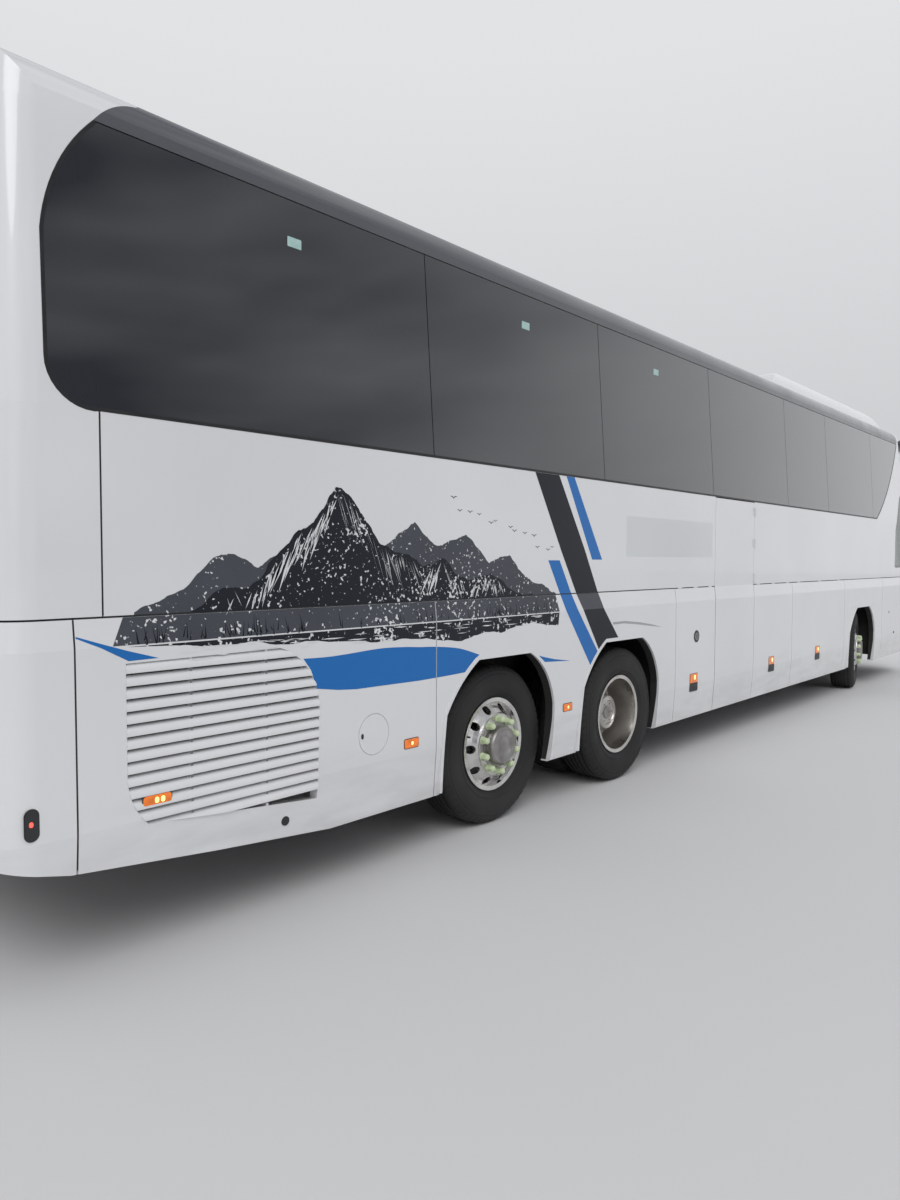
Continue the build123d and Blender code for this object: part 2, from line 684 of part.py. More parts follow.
# A convex wheel for the single axles: rim, cone with hand holes, nut face, hub cap
cap_r = 124
single_rim = wheel_ring([
    (bead_r, -half_rim + 5), (bead_r, half_rim - 5), (flange_r, half_rim), (flange_r, half_rim + 8),
    (bead_r - 11, half_rim + 4), (bead_r - 17, 100), (257, 110), (234, 132), (208, 152), (200, 160),
    (cap_r + 2, 160), (cap_r, 200), (cap_r - 8, 213), (0, 215), (0, 90), (spindle_r + spindle_gap, 90),
    (spindle_r + spindle_gap, -50), (hub_r - 20, -50), (hub_r - 20, 100), (150, 140), (198, 140), (228, 114),
    (252, 88), (bead_r - 17, 76), (bead_r - 17, -half_rim + 5),
])

# A twin wheel: two rims, a disc deep between them, and a drum-shaped hub
twin_gap = outer_twin_y - inner_twin_y
disc_y = -twin_gap / 2
drum_r = 148
twin_rim = wheel_ring([
    (bead_r, -half_rim + 5), (bead_r, half_rim - 5), (flange_r, half_rim), (flange_r, half_rim + 8),
    (bead_r - 11, half_rim + 4), (bead_r - 18, -60), (262, disc_y + 66), (238, disc_y + 30), (216, disc_y + 18),
    (drum_r + 3, disc_y + 18), (drum_r, -20), (140, 8), (126, 30), (96, 37), (90, 26), (0, 26), (0, disc_y + 30),
    (spindle_r + spindle_gap, disc_y + 30), (spindle_r + spindle_gap, disc_y - 250),
    (110, disc_y - 250), (110, disc_y - 14), (150, disc_y - 14), (214, disc_y - 18),
    (bead_r - 20, 60 - twin_gap), (bead_r - 14, -twin_gap - half_rim - 4),
    (flange_r, -twin_gap - half_rim - 8), (flange_r, -twin_gap - half_rim),
    (bead_r, -twin_gap - half_rim + 5), (bead_r, -twin_gap + half_rim - 5),
    (bead_r - 8, -twin_gap + half_rim), (bead_r - 22, -half_rim - 10), (bead_r - 8, -half_rim),
])

# Hand holes
hole_count = 10
for i in range(hole_count):
    turn = Rotation(0, 360 / hole_count * i, 0)
    single_rim = single_rim - turn * Pos(238, 120, 0) * Rotation(90, 0, 0) * Cylinder(27, 110)
    twin_rim = twin_rim - turn * Pos(228, disc_y, 0) * Rotation(90, 0, 0) * Cylinder(25, 120)

tyres = {}
rims = {}
for side, word in ((1, "left"), (-1, "right")):
    tyres["tag_tyre_" + word] = place(tyre_form, tag_s, side, single_y)
    rims["tag_wheel_" + word] = place(single_rim, tag_s, side, single_y)
    pair = group(place(tyre_form, drive_s, side, outer_twin_y), place(tyre_form, drive_s, side, inner_twin_y))
    tyres["drive_tyres_" + word] = pair
    rims["drive_wheel_" + word] = place(twin_rim, drive_s, side, outer_twin_y)
    pin = Axis((at(front_s), side * kingpin_y, 0), (0, 0, 1))
    tyres["front_tyre_" + word] = place(tyre_form, front_s, side, single_y).rotate(pin, steer_rest)
    rims["front_wheel_" + word] = place(single_rim, front_s, side, single_y).rotate(pin, steer_rest)


def rod(s, y0, y1, z, r):
    # A round bar across the coach
    return Pos(at(s), (y0 + y1) / 2, z) * Rotation(90, 0, 0) * Cylinder(r, y1 - y0)


def post(s, y, z0, z1, r):
    return Pos(at(s), y, (z0 + z1) / 2) * Cylinder(r, z1 - z0)


# Tag axle with its air springs
tag_end = single_y + 80
tag_axle = rod(tag_s, -tag_end, tag_end, tyre_r, spindle_r) + rod(tag_s, -870, 870, tyre_r, 62)
tag_axle = tag_axle + both(rod(tag_s, 870, 960, tyre_r, 120))
for s in (tag_s - 190, tag_s + 190):
    tag_axle = tag_axle + both(post(s, 420, 470, rail_axle_z, 95))
tag_axle = tag_axle + both(block(tag_s - 240, tag_s + 240, 375, 465, 440, 500))

# Drive axle with its differential, casing and air springs
drive_end = (outer_twin_y + inner_twin_y) / 2 + 20
drive_axle = rod(drive_s, -drive_end, drive_end, tyre_r, spindle_r) + rod(drive_s, -655, 655, tyre_r, 85)
drive_axle = drive_axle + Pos(at(drive_s), 0, tyre_r) * Sphere(215)
nose_plane = Plane(origin=shaft_end, z_dir=run)
drive_axle = drive_axle + extrude(nose_plane * Circle(80), 200)
for s in (drive_s - 240, drive_s + 240):
    drive_axle = drive_axle + both(post(s, 420, 470, rail_axle_z, 95))
drive_axle = drive_axle + both(block(drive_s - 290, drive_s + 290, 375, 465, 430, 490))

# Front axle beam with kingpins
boss_r = 55
boss_low = tyre_r - 75
boss_high = tyre_r + 75
front_axle = both(post(front_s, kingpin_y, boss_low, boss_high, boss_r))
front_axle = front_axle + both(post(front_s, kingpin_y, boss_low - 60, boss_high + 60, kingpin_r))
front_axle = front_axle + block(front_s - 45, front_s + 45, -kingpin_y, kingpin_y, boss_low, boss_low + 70)
front_axle = front_axle + block(front_s - 45, front_s + 45, -kingpin_y + 70, kingpin_y - 70, 400, boss_low + 10)
for s in (front_s - 150, front_s + 150):
    front_axle = front_axle + both(post(s, 420, 470, rail_axle_z, 80))
front_axle = front_axle + both(block(front_s - 200, front_s + 200, 385, 455, 420, 480))

# Steering knuckles: two ears round the kingpin, a web and the spindle
ear_gap = 6
web_y = kingpin_y + boss_r + 8


def knuckle(side):
    low = boss_low - ear_gap
    high = boss_high + ear_gap
    piece = block(front_s - 55, front_s + 55, web_y, web_y + 38, low - 45, high + 45)
    for z in (low - 45, high):
        piece = piece + post(front_s, kingpin_y, z, z + 45, 50)
        piece = piece + block(front_s - 50, front_s + 50, kingpin_y, web_y + 10, z, z + 45)
    piece = piece - post(front_s, kingpin_y, low - 100, high + 100, kingpin_r + spindle_gap)
    piece = piece + rod(front_s, web_y + 6, web_y + 30, tyre_r, 150)
    piece = piece + rod(front_s, web_y + 30, single_y + 80, tyre_r, spindle_r)
    piece = piece if side > 0 else mirror(piece, Plane.XZ)
    pin = Axis((at(front_s), side * kingpin_y, 0), (0, 0, 1))
    return piece.rotate(pin, steer_rest)


# Passenger door arm: pivots on a post by the door's front edge
arm_s = door_front_s - 80
arm_y = 1150
arm_z = 760
door_arm_piece = post(arm_s, arm_y, arm_z - 30, arm_z + 30, 26)
door_arm_piece = door_arm_piece + block(arm_s - door_arm, arm_s, arm_y - 12, arm_y + 12, arm_z - 20, arm_z + 20)
door_arm_piece = door_arm_piece + post(arm_s - door_arm, arm_y, arm_z - 30, arm_z + 30, 26)
door_arm_piece = door_arm_piece - post(arm_s, arm_y, arm_z - 60, arm_z + 60, 12 + spindle_gap)
door_arm_piece = door_arm_piece - post(arm_s - door_arm, arm_y, arm_z - 60, arm_z + 60, 12 + spindle_gap)
arm_post = post(arm_s, arm_y, 420, arm_z + 60, 12)
platform = platform + arm_post
door_bracket = post(arm_s - door_arm, arm_y, arm_z - 80, arm_z + 80, 12)
for z in (arm_z - 80, arm_z + 50):
    door_bracket = door_bracket + block(arm_s - door_arm - 20, arm_s - door_arm + 20, arm_y - 15, 1300, z, z + 30)
door_leaf = door_leaf + (door_bracket & inner)

# Steering wheel and column
wheel_at = Vector(at(12900), -690, 1500)
tilt = Plane(origin=wheel_at, z_dir=(-0.5, 0, 0.866))
steering_wheel = tilt * Torus(225, 16)
steering_wheel = steering_wheel + tilt * Cylinder(60, 40)
for turn in (0, 120, 240):
    spoke = Rotation(0, 0, turn + 90) * Pos(120, 0, 0) * Box(200, 34, 16)
    steering_wheel = steering_wheel + tilt * spoke
column = extrude(Plane(origin=wheel_at, z_dir=(0.5, 0, -0.866)) * Circle(35), 420)
column = column - extrude(Plane(origin=wheel_at, z_dir=(0.5, 0, -0.866)) * Circle(80), 20.5)
dashboard = dashboard + column

# Mirrors on curved arms from the front top corners
mirror_front = body_length + mirror_reach
arm_side = side_face([
    ThreePointArc((at(12950), 3380), (at(13650), 3520), (at(mirror_front - 80), 3080)),
    Line((at(mirror_front - 80), 3080), (at(mirror_front - 160), 3060)),
    ThreePointArc((at(mirror_front - 160), 3060), (at(13620), 3440), (at(12950), 3300)),
    Line((at(12950), 3300), (at(12950), 3380)),
])
mirror_arm = Pos(0, 1150, 0) * extrude(arm_side, 35, both=True)
mirror_head = fillet(block(mirror_front - 170, mirror_front, 1010, 1250, 2560, 3100).edges(), 40)
mirrors = both((mirror_arm + mirror_head) - outer)

pieces = {
    "frame": frame,
    "cabin_floor": deck,
    "luggage_floor": hold_floor,
    "bulkheads": bulkheads,
    "wheel_tubs": tubs,
    "rear_steps": rear_steps,
    "front_platform": platform,
    "dashboard": dashboard,
    "seats": seats,
    "engine": engine,
    "radiators": radiators,
    "propeller_shaft": propshaft,
    "tag_axle": tag_axle,
    "drive_axle": drive_axle,
    "front_axle": front_axle,
    "side_wall_right": side_wall_right,
    "side_wall_left": side_wall_left,
    "side_glass": side_glass,
    "cantrails": cantrails,
    "driver_window": driver_window,
    "roof": roof,
    "roof_unit": roof_unit,
    "rear_wall": rear_wall,
    "rear_window": rear_window,
    "rear_bumper": rear_bumper,
    "tail_lamps": tail_lamps,
    "front_panel": front_panel,
    "windscreen": windscreen,
    "front_bumper": front_bumper,
    "headlamps": headlamps,
    "mirrors": mirrors,
    "lower_panels_right": lower_right,
    "lower_panels_left": lower_left,
    "engine_grilles": grilles,
    "engine_lid": lid,
    "emergency_door": exit_door,
    "passenger_door": door_leaf,
    "passenger_door_glass": door_glass,
    "passenger_door_arm": door_arm_piece,
    "steering_wheel": steering_wheel,
    "knuckle_left": knuckle(1),
    "knuckle_right": knuckle(-1),
}
pieces.update(flaps)
pieces.update(tyres)
pieces.update(rims)

for name, shape in pieces.items():
    export_step(group(shape), "parts/" + name + ".step")
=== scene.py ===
import json
from cmath import phase, rect
from math import atan2, cos, dist, pi, radians, sin
from random import Random

import bmesh
import bpy
from mathutils import Matrix, Vector
from mathutils.bvhtree import BVHTree


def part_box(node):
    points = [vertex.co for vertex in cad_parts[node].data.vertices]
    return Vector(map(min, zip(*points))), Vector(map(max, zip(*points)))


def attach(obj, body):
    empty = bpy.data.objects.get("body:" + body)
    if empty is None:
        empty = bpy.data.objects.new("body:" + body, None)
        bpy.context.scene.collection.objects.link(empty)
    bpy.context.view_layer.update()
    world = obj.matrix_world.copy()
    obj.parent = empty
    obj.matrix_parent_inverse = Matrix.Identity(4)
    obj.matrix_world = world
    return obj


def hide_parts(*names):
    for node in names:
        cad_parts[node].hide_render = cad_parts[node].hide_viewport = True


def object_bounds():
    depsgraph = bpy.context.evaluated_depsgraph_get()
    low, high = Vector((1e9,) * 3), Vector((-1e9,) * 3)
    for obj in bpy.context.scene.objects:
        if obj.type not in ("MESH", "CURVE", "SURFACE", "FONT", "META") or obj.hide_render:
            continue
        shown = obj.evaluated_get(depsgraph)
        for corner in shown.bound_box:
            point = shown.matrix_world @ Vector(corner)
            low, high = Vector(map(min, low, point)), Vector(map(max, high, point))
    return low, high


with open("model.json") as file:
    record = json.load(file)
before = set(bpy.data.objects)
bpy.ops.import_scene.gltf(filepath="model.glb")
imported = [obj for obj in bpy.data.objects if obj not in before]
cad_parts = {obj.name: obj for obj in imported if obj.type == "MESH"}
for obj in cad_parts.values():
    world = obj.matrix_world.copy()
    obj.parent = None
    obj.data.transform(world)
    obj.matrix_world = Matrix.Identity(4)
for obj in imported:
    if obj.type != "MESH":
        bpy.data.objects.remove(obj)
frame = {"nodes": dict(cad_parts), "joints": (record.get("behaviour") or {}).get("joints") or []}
cad_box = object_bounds()

# Lengths are in metres. A station is the distance forward from the coach's rear end.
TAIL_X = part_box("rear_bumper")[0].x
BODY_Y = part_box("flap_left_front")[1].y
WALL_Y = BODY_Y - 0.013
SKIRT_Y = BODY_Y - 0.022
HEAD_Y = WALL_Y - 0.08
SKIRT_Z, BULGE_Z, BEVEL_Z, WAIST_Z, SILL_Z, HEAD_Z = 0.33, 0.62, 1.35, 1.47, 2.285, 3.44
SIDE_PROFILE = [(SKIRT_Z, SKIRT_Y), (BULGE_Z, BODY_Y), (BEVEL_Z, BODY_Y), (WAIST_Z, WALL_Y), (SILL_Z, WALL_Y),
                (HEAD_Z, HEAD_Y)]
RIGHT, LEFT = -1, 1
BOTH = ((RIGHT, "right"), (LEFT, "left"))


def at(station):
    return TAIL_X + station


def side_y(z):
    """How far out the body's side is at a height."""
    for (z0, y0), (z1, y1) in zip(SIDE_PROFILE, SIDE_PROFILE[1:]):
        if z <= z1:
            return y0 + (y1 - y0) * (z - z0) / (z1 - z0)
    return HEAD_Y


def move(x, y, z):
    return Matrix.Translation((x, y, z))


def rotate(degrees, axis):
    return Matrix.Rotation(radians(degrees), 4, axis)


# Materials

class Nodes:
    """Adds nodes to a tree. Its textures read one vector, such as the object's own coordinates."""

    def __init__(self, tree, space):
        self.tree = tree
        self.vector = tree.nodes.new("ShaderNodeTexCoord").outputs[space]

    def feed(self, target, value):
        """Links an input to an output, or sets it."""
        if isinstance(value, bpy.types.NodeSocket):
            self.tree.links.new(value, target)
        else:
            target.default_value = value

    def add(self, kind, inputs, **settings):
        node = self.tree.nodes.new("ShaderNode" + kind)
        for key, value in settings.items():
            setattr(node, key, value)
        for key, value in inputs.items():
            self.feed(node.inputs[key], value)
        return node

    def maths(self, operation, *values):
        return self.add("Math", dict(enumerate(values)), operation=operation).outputs[0]

    def along(self, axis):
        return self.add("SeparateXYZ", {0: self.vector}).outputs[axis]

    def fade(self, value, low, high, top):
        """Falls from top to 0 while a value goes from low to high."""
        span = {"Value": value, "From Min": low, "From Max": high, "To Min": top, "To Max": 0.0}
        return self.add("MapRange", span).outputs["Result"]

    def noise(self, scale, detail=5.0, stretch=None):
        vector = self.vector
        if stretch:
            vector = self.add("Mapping", {"Vector": vector, "Scale": stretch}).outputs["Vector"]
        return self.add("TexNoise", {"Vector": vector, "Scale": scale, "Detail": detail}).outputs["Fac"]

    def ramp(self, value, *stops):
        """Two colours or greys along a value."""
        node = self.add("ValToRGB", {"Fac": value})
        for mark, (place, colour) in zip(node.color_ramp.elements, stops):
            mark.position = place
            mark.color = (*colour, 1) if isinstance(colour, tuple) else (colour, colour, colour, 1)
        return node.outputs["Color"]

    def mix(self, share, a, b, blend="MIX"):
        node = self.add("Mix", {"Factor": share}, data_type="RGBA", blend_type=blend)
        for target, value in zip([s for s in node.inputs if s.type == "RGBA"], (a, b)):
            self.feed(target, (*value, 1) if isinstance(value, tuple) else value)
        return [s for s in node.outputs if s.type == "RGBA"][0]


class Finish(Nodes):
    """A new material: its principled shader, and nodes that read object coordinates."""

    def __init__(self, name, rough, metal=0.0, coat=0.0, **sockets):
        self.mat = bpy.data.materials.new(name)
        self.mat.use_nodes = True
        super().__init__(self.mat.node_tree, "Object")
        self.shader = self.tree.nodes["Principled BSDF"]
        self.set(Roughness=rough, Metallic=metal, Coat_Weight=coat, Coat_Roughness=0.04, **sockets)

    def set(self, **sockets):
        for key, value in sockets.items():
            self.feed(self.shader.inputs[key.replace("_", " ")], value)

    def bump(self, height, strength, distance=0.001):
        node = self.add("Bump", {"Strength": strength, "Distance": distance, "Height": height})
        self.set(Normal=node.outputs["Normal"])


def mottled(name, dark, light, rough, scale=3.0, spread=0.1, grain=0, grain_depth=0.2, **kinds):
    """A finish that drifts between two tints, with roughness that follows and a fine grain."""
    f = Finish(name, rough, **kinds)
    low, high = max(rough - spread, 0.02), min(rough + spread, 1.0)
    f.set(Base_Color=f.ramp(f.noise(scale), (0.3, dark), (0.7, light)),
          Roughness=f.ramp(f.noise(scale * 4), (0.35, low), (0.65, high)))
    if grain:
        f.bump(f.noise(grain, 2.0), grain_depth)
    return f.mat


ROAD_DUST = (0.3, 0.28, 0.26)


def paint(name, dark, light, gloss=0.5, coat=0.7):
    """Clear-coated body paint with faint orange peel, and a film of road dust along the skirt."""
    f = Finish(name, 0.3, coat=coat, Specular_IOR_Level=gloss)
    base = f.ramp(f.noise(0.7, 2.0), (0.3, dark), (0.7, light))
    uneven_height = f.maths("MULTIPLY_ADD", f.noise(2.5), 0.5, f.along("Z"))
    streaks = f.ramp(f.noise(5.0, 9.0, (0.6, 1.0, 2.6)), (0.35, 0.0), (0.8, 0.34))
    dust = f.maths("MULTIPLY", f.fade(uneven_height, 0.55, 1.0, 1.0), streaks)
    f.set(Base_Color=f.mix(dust, base, ROAD_DUST), Roughness=f.ramp(f.noise(3.0), (0.35, 0.22), (0.65, 0.26)))
    f.bump(f.noise(60.0, 2.0), 0.03)
    return f.mat


def printed(name, ink, ground, wear):
    """Printed film whose ink has flaked: small specks of the paint behind show through, denser in drifts."""
    f = Finish(name, 0.34, Specular_IOR_Level=0.22)
    patches = f.ramp(f.noise(5.0, 4.0), (0.4, 0.0), (0.72, wear))
    flakes = f.ramp(f.maths("ADD", f.noise(46.0, 6.0), patches), (0.665, 0.0), (0.685, 1.0))
    tinted = f.ramp(f.noise(1.5), (0.3, ink), (0.7, tuple(channel * 1.3 for channel in ink)))
    f.set(Base_Color=f.mix(flakes, tinted, ground))
    return f.mat


def glass(name, tint, see_through, smear, coat=0.0):
    """Glass with a faint film of dirt in its roughness. The coat stands for the second pane's reflection."""
    f = Finish(name, 0.03, coat=coat, IOR=1.52)
    lighter = tuple(min(1.0, channel * 1.3 + 0.003) for channel in tint)
    f.set(Transmission_Weight=see_through, Coat_Roughness=0.015,
          Base_Color=f.ramp(f.noise(0.8), (0.3, tint), (0.7, lighter)),
          Roughness=f.ramp(f.noise(3.0, 6.0, (1, 1, 2.5)), (0.4, 0.01), (0.7, smear)))
    return f.mat


def weave(name, ground, figure, thread):
    """Upholstery cloth: crossing threads with a small scattered figure."""
    f = Finish(name, 0.9, Sheen_Weight=0.4)
    colours = f.mix(f.ramp(f.noise(26.0, 1.0), (0.52, 0.0), (0.56, 1.0)), ground, figure)
    waves = [f.add("TexWave", {"Vector": f.vector, "Scale": thread, "Distortion": 0.6}, bands_direction=axis)
             for axis in "XZ"]
    threads = f.maths("MAXIMUM", *(wave.outputs["Fac"] for wave in waves))
    f.set(Base_Color=f.mix(1.0, colours, f.ramp(threads, (0.2, 0.55), (0.8, 1.0)), "MULTIPLY"))
    f.bump(threads, 0.3, 0.0008)
    return f.mat


def lens(name, colour, glow, prism_scale=160.0):
    """A moulded lamp lens with fine prisms, lit a little from inside."""
    f = Finish(name, 0.12, coat=0.8, IOR=1.49)
    deep = tuple(channel * 0.6 for channel in colour)
    f.set(Base_Color=f.ramp(f.noise(30.0), (0.35, deep), (0.65, colour)),
          Emission_Color=(*colour, 1), Emission_Strength=glow)
    f.bump(f.add("TexVoronoi", {"Vector": f.vector, "Scale": prism_scale}).outputs["Distance"], 0.5)
    return f.mat


def rubber(name, dark, dusty, scale, rough=0.7):
    """Rubber with a soft sheen and a thin bloom of dust."""
    f = Finish(name, rough)
    f.set(Base_Color=f.ramp(f.noise(scale, 4.0), (0.4, dark), (0.8, dusty)),
          Roughness=f.ramp(f.noise(7.0), (0.3, rough - 0.12), (0.7, rough + 0.08)))
    f.bump(f.noise(320.0, 3.0), 0.12)
    return f.mat


def brushed(name, dark, light, dirt=None, low=0.0, high=1.0):
    """Polished alloy with hairline marks. Brake dust fades between two distances off the middle plane."""
    f = Finish(name, 0.25, metal=1.0)
    colour = f.ramp(f.noise(6.0, 6.0), (0.3, dark), (0.7, light))
    rough = f.ramp(f.noise(11.0), (0.3, 0.16), (0.7, 0.34))
    if dirt:
        depth = f.fade(f.maths("ABSOLUTE", f.along("Y")), low, high, 0.72)
        share = f.maths("MULTIPLY", depth, f.ramp(f.noise(9.0, 6.0), (0.25, 0.72), (0.7, 1.0)))
        colour, rough = f.mix(share, colour, dirt), f.mix(share, rough, (0.62, 0.62, 0.62))
    f.set(Base_Color=colour, Roughness=rough)
    f.bump(f.noise(60.0, 3.0, (6, 0.4, 6)), 0.06)
    return f.mat


SKIN_TINT, INK = (0.68, 0.685, 0.7), (0.01, 0.012, 0.018)
WHITE = paint("white_paint", SKIN_TINT, (0.73, 0.735, 0.75))
BLUE = paint("blue_film", (0.006, 0.13, 0.42), (0.009, 0.15, 0.47), 0.25, 0.15)
BLACK = paint("black_film", INK, (0.014, 0.016, 0.023), 0.2, 0.0)
# Slate film: painted sky reflection, for black livery that looks grey where the bevel faces the sky
SLATE = paint("slate_painted_reflection_film", (0.05, 0.053, 0.064), (0.064, 0.068, 0.08), 0.25, 0.1)
PALE = paint("pale_film", (0.6, 0.615, 0.63), (0.66, 0.67, 0.69), 0.4, 0.3)
# Grey film: painted shade, for the shade line where a crease in the panel fades out above the drive arch
CREASE_SHADE_GREY = paint("grey_painted_shade_film", (0.3, 0.31, 0.33), (0.4, 0.41, 0.43), 0.4, 0.3)
ART_BLACK = printed("art_black", INK, SKIN_TINT, 0.16)
# art_slate: the far hills' print tone, and also painted sky reflection where the lake's black print runs over
# the bevel
ART_SLATE = printed("art_slate", (0.055, 0.06, 0.072), SKIN_TINT, 0.13)
SIDE_GLASS = glass("side_glass", (0.016, 0.018, 0.023), 0.25, 0.05, 1.0)
CLEAR_GLASS = glass("clear_glass", (0.62, 0.68, 0.66), 0.95, 0.04)
SMOKED_GLASS = glass("smoked_glass", (0.2, 0.235, 0.22), 0.92, 0.04)
CANTRAIL = mottled("cantrail_dark", (0.055, 0.06, 0.07), (0.075, 0.08, 0.092), 0.28, 0.6, 0.06, coat=0.5)
FRAME_DARK = mottled("frame_dark", (0.012, 0.012, 0.013), (0.03, 0.027, 0.025), 0.68, 4.0, 0.15, 120)
PLASTIC = mottled("dark_plastic", (0.014, 0.015, 0.017), (0.024, 0.025, 0.028), 0.42, 4.0, 0.08, 320, 0.15)
TRIM = mottled("interior_grey", (0.16, 0.17, 0.18), (0.22, 0.23, 0.24), 0.7, 2.0, 0.1, 240, 0.3)
FLOOR = mottled("cabin_vinyl", (0.1, 0.105, 0.115), (0.15, 0.155, 0.165), 0.55, 30.0, 0.1, 300)
CLOTH = weave("seat_fabric", (0.02, 0.035, 0.085), (0.1, 0.13, 0.2), 160.0)
TYRE = rubber("tyre_rubber", (0.0095, 0.0095, 0.01), (0.03, 0.029, 0.028), 3.5)
SEAL = rubber("seal_rubber", (0.008, 0.008, 0.009), (0.016, 0.016, 0.017), 14.0, 0.45)
ALLOY = brushed("wheel_alloy", (0.55, 0.54, 0.53), (0.86, 0.85, 0.83))
DEEP_ALLOY = brushed("deep_alloy", (0.5, 0.48, 0.46), (0.84, 0.82, 0.79), (0.36, 0.34, 0.31), 1.09, 1.19)
HUB = mottled("hub_grey", (0.22, 0.21, 0.2), (0.42, 0.41, 0.4), 0.38, 12.0, 0.1, 150, 0.15, metal=0.8)
IRON = mottled("axle_iron", (0.02, 0.019, 0.018), (0.075, 0.055, 0.042), 0.75, 9.0, 0.15, 80, 0.4)
ENGINE = mottled("engine_grey", (0.09, 0.095, 0.1), (0.17, 0.17, 0.165), 0.6, 6.0, 0.15, 60, 0.4, metal=0.3)
NUT_CAP = mottled("nut_cap_green", (0.5, 0.6, 0.36), (0.62, 0.7, 0.48), 0.45, 25.0, 0.1, 200, 0.1)
AMBER = lens("amber_lens", (0.9, 0.2, 0.012), 0.25)
AMBER_LIT = lens("amber_lit", (1.0, 0.62, 0.16), 2.4)
RED = lens("red_lens", (0.42, 0.008, 0.008), 0.12)
RED_LIT = lens("red_lit", (1.0, 0.06, 0.04), 2.2)
CLEAR = lens("clear_lens", (0.62, 0.65, 0.68), 0.1, 70.0)
LAMP_SHELL = mottled("lamp_shell", (0.045, 0.048, 0.054), (0.075, 0.08, 0.088), 0.16, 5.0, 0.05, coat=1.0)
CHROME = mottled("lamp_bowl", (0.7, 0.71, 0.72), (0.82, 0.83, 0.84), 0.12, 6.0, 0.05, metal=1.0)
MIRROR = mottled("mirror_glass", (0.7, 0.72, 0.74), (0.76, 0.78, 0.8), 0.05, 1.0, 0.03, metal=1.0)
PLATE = mottled("plate_white", (0.62, 0.62, 0.6), (0.68, 0.68, 0.66), 0.35, 8.0)
STICKER = mottled("sticker_pale", (0.34, 0.52, 0.5), (0.42, 0.6, 0.58), 0.5, 40.0)


# Mesh helpers

def new_object(name, data):
    obj = bpy.data.objects.new(name, data)
    bpy.context.scene.collection.objects.link(obj)
    return obj


def piece(name, bm, mats, body="body", sharp=35):
    """A finished mesh object that rides on a body."""
    mesh = bpy.data.meshes.new(name)
    bmesh.ops.recalc_face_normals(bm, faces=bm.faces)
    bm.to_mesh(mesh)
    bm.free()
    for mat in mats if isinstance(mats, list) else [mats]:
        mesh.materials.append(mat)
    mesh.polygons.foreach_set("use_smooth", [True] * len(mesh.polygons))
    mesh.set_sharp_from_angle(angle=radians(sharp))
    obj = new_object(name, mesh)
    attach(obj, body)
    return obj


def circle(count, r=1.0):
    return [(r * cos(2 * pi * k / count), r * sin(2 * pi * k / count)) for k in range(count)]


def skin(bm, loops, mat=0):
    """Joins closed loops of points, with flat ends."""
    rings = [[bm.verts.new(point) for point in loop] for loop in loops]
    count = len(rings[0])
    for a, b in zip(rings, rings[1:]):
        for k in range(count):
            bm.faces.new([a[k], a[(k + 1) % count], b[(k + 1) % count], b[k]]).material_index = mat
    bm.faces.new(rings[0][::-1]).material_index = mat
    bm.faces.new(rings[-1]).material_index = mat


def add_box(bm, low, high, edge):
    """A box with cut edges between two corners."""
    low, high = Vector(low), Vector(high)
    verts = bmesh.ops.create_cube(bm, size=1.0)["verts"]
    bmesh.ops.scale(bm, vec=high - low, verts=verts)
    bmesh.ops.translate(bm, vec=(low + high) / 2, verts=verts)
    edges = list({e for v in verts for e in v.link_edges})
    bmesh.ops.bevel(bm, geom=edges, offset=edge, segments=1, profile=0.5, affect="EDGES")


def add_lathe(bm, profile, count, matrix, mat=0, wave=None):
    """Turns a profile of (radius, distance along +Y) round the Y axis. wave moves its points by angle."""
    on_axis = [r < 1e-6 for r, y in profile]
    rings = []
    for i in range(count):
        angle = 2 * pi * i / count
        moved = [wave(angle, r, y) if wave else (r, y) for r, y in profile]
        rings.append([bm.verts.new(matrix @ Vector((r * cos(angle), y, r * sin(angle)))) for r, y in moved])
    for a, b in zip(rings, rings[1:] + rings[:1]):
        for j in range(len(profile) - 1):
            back = [b[i] for i in (j + 1, j) if not on_axis[i]]
            bm.faces.new([a[j], a[j + 1]] + back).material_index = mat
    ends = [v for ring in rings for v, on in zip(ring, on_axis) if on]
    if ends:
        bmesh.ops.remove_doubles(bm, verts=ends, dist=1e-5)


def closed_ring(bm, rows, place, mat, steps=72, wave=None):
    add_lathe(bm, rows + [rows[0]], steps, place, mat, wave)


def add_tube(bm, points, radius, sides=8, mat=0):
    """A round bar along points, with flat ends."""
    points = [Vector(point) for point in points]
    loops = []
    for before, here, after in zip(points[:1] + points, points, points[1:] + points[-1:]):
        turn = (after - before).to_track_quat("Z", "Y").to_matrix()
        loops.append([here + turn @ Vector((a, b, 0)) for a, b in circle(sides, radius)])
    skin(bm, loops, mat)


def add_stack(bm, matrix, rows, sides, mat, flute=0.0):
    """A closed stack of rings of (distance outboard, radius). flute draws every second corner in."""
    skin(bm, [[matrix @ Vector((r * (1 - flute * (k % 2)) * a, y, r * (1 - flute * (k % 2)) * b))
               for k, (a, b) in enumerate(circle(sides))] for y, r in rows], mat)


def rounded_outline(width, height, corner, steps=7, radius=None):
    """Points (across, up) round a rectangle with rounded corners, or drawn in to a smaller radius there."""
    r = corner if radius is None else radius
    corners = ((1, 1, 0), (-1, 1, 90), (-1, -1, 180), (1, -1, 270))
    return [(cx * (width / 2 - corner) + r * cos(radians(turn + 90 * k / steps)),
             cz * (height / 2 - corner) + r * sin(radians(turn + 90 * k / steps)))
            for cx, cz, turn in corners for k in range(steps + 1)]


def add_plate(bm, place, width, height, corner, rims, mat, steps):
    """A plate with rounded corners. place makes points of (across, up, rise). Rims are (draw, rise)."""
    skin(bm, [[place(across, up, rise) for across, up
               in rounded_outline(width, height, corner, steps, corner * (1 - draw))]
              for draw, rise in rims], mat)


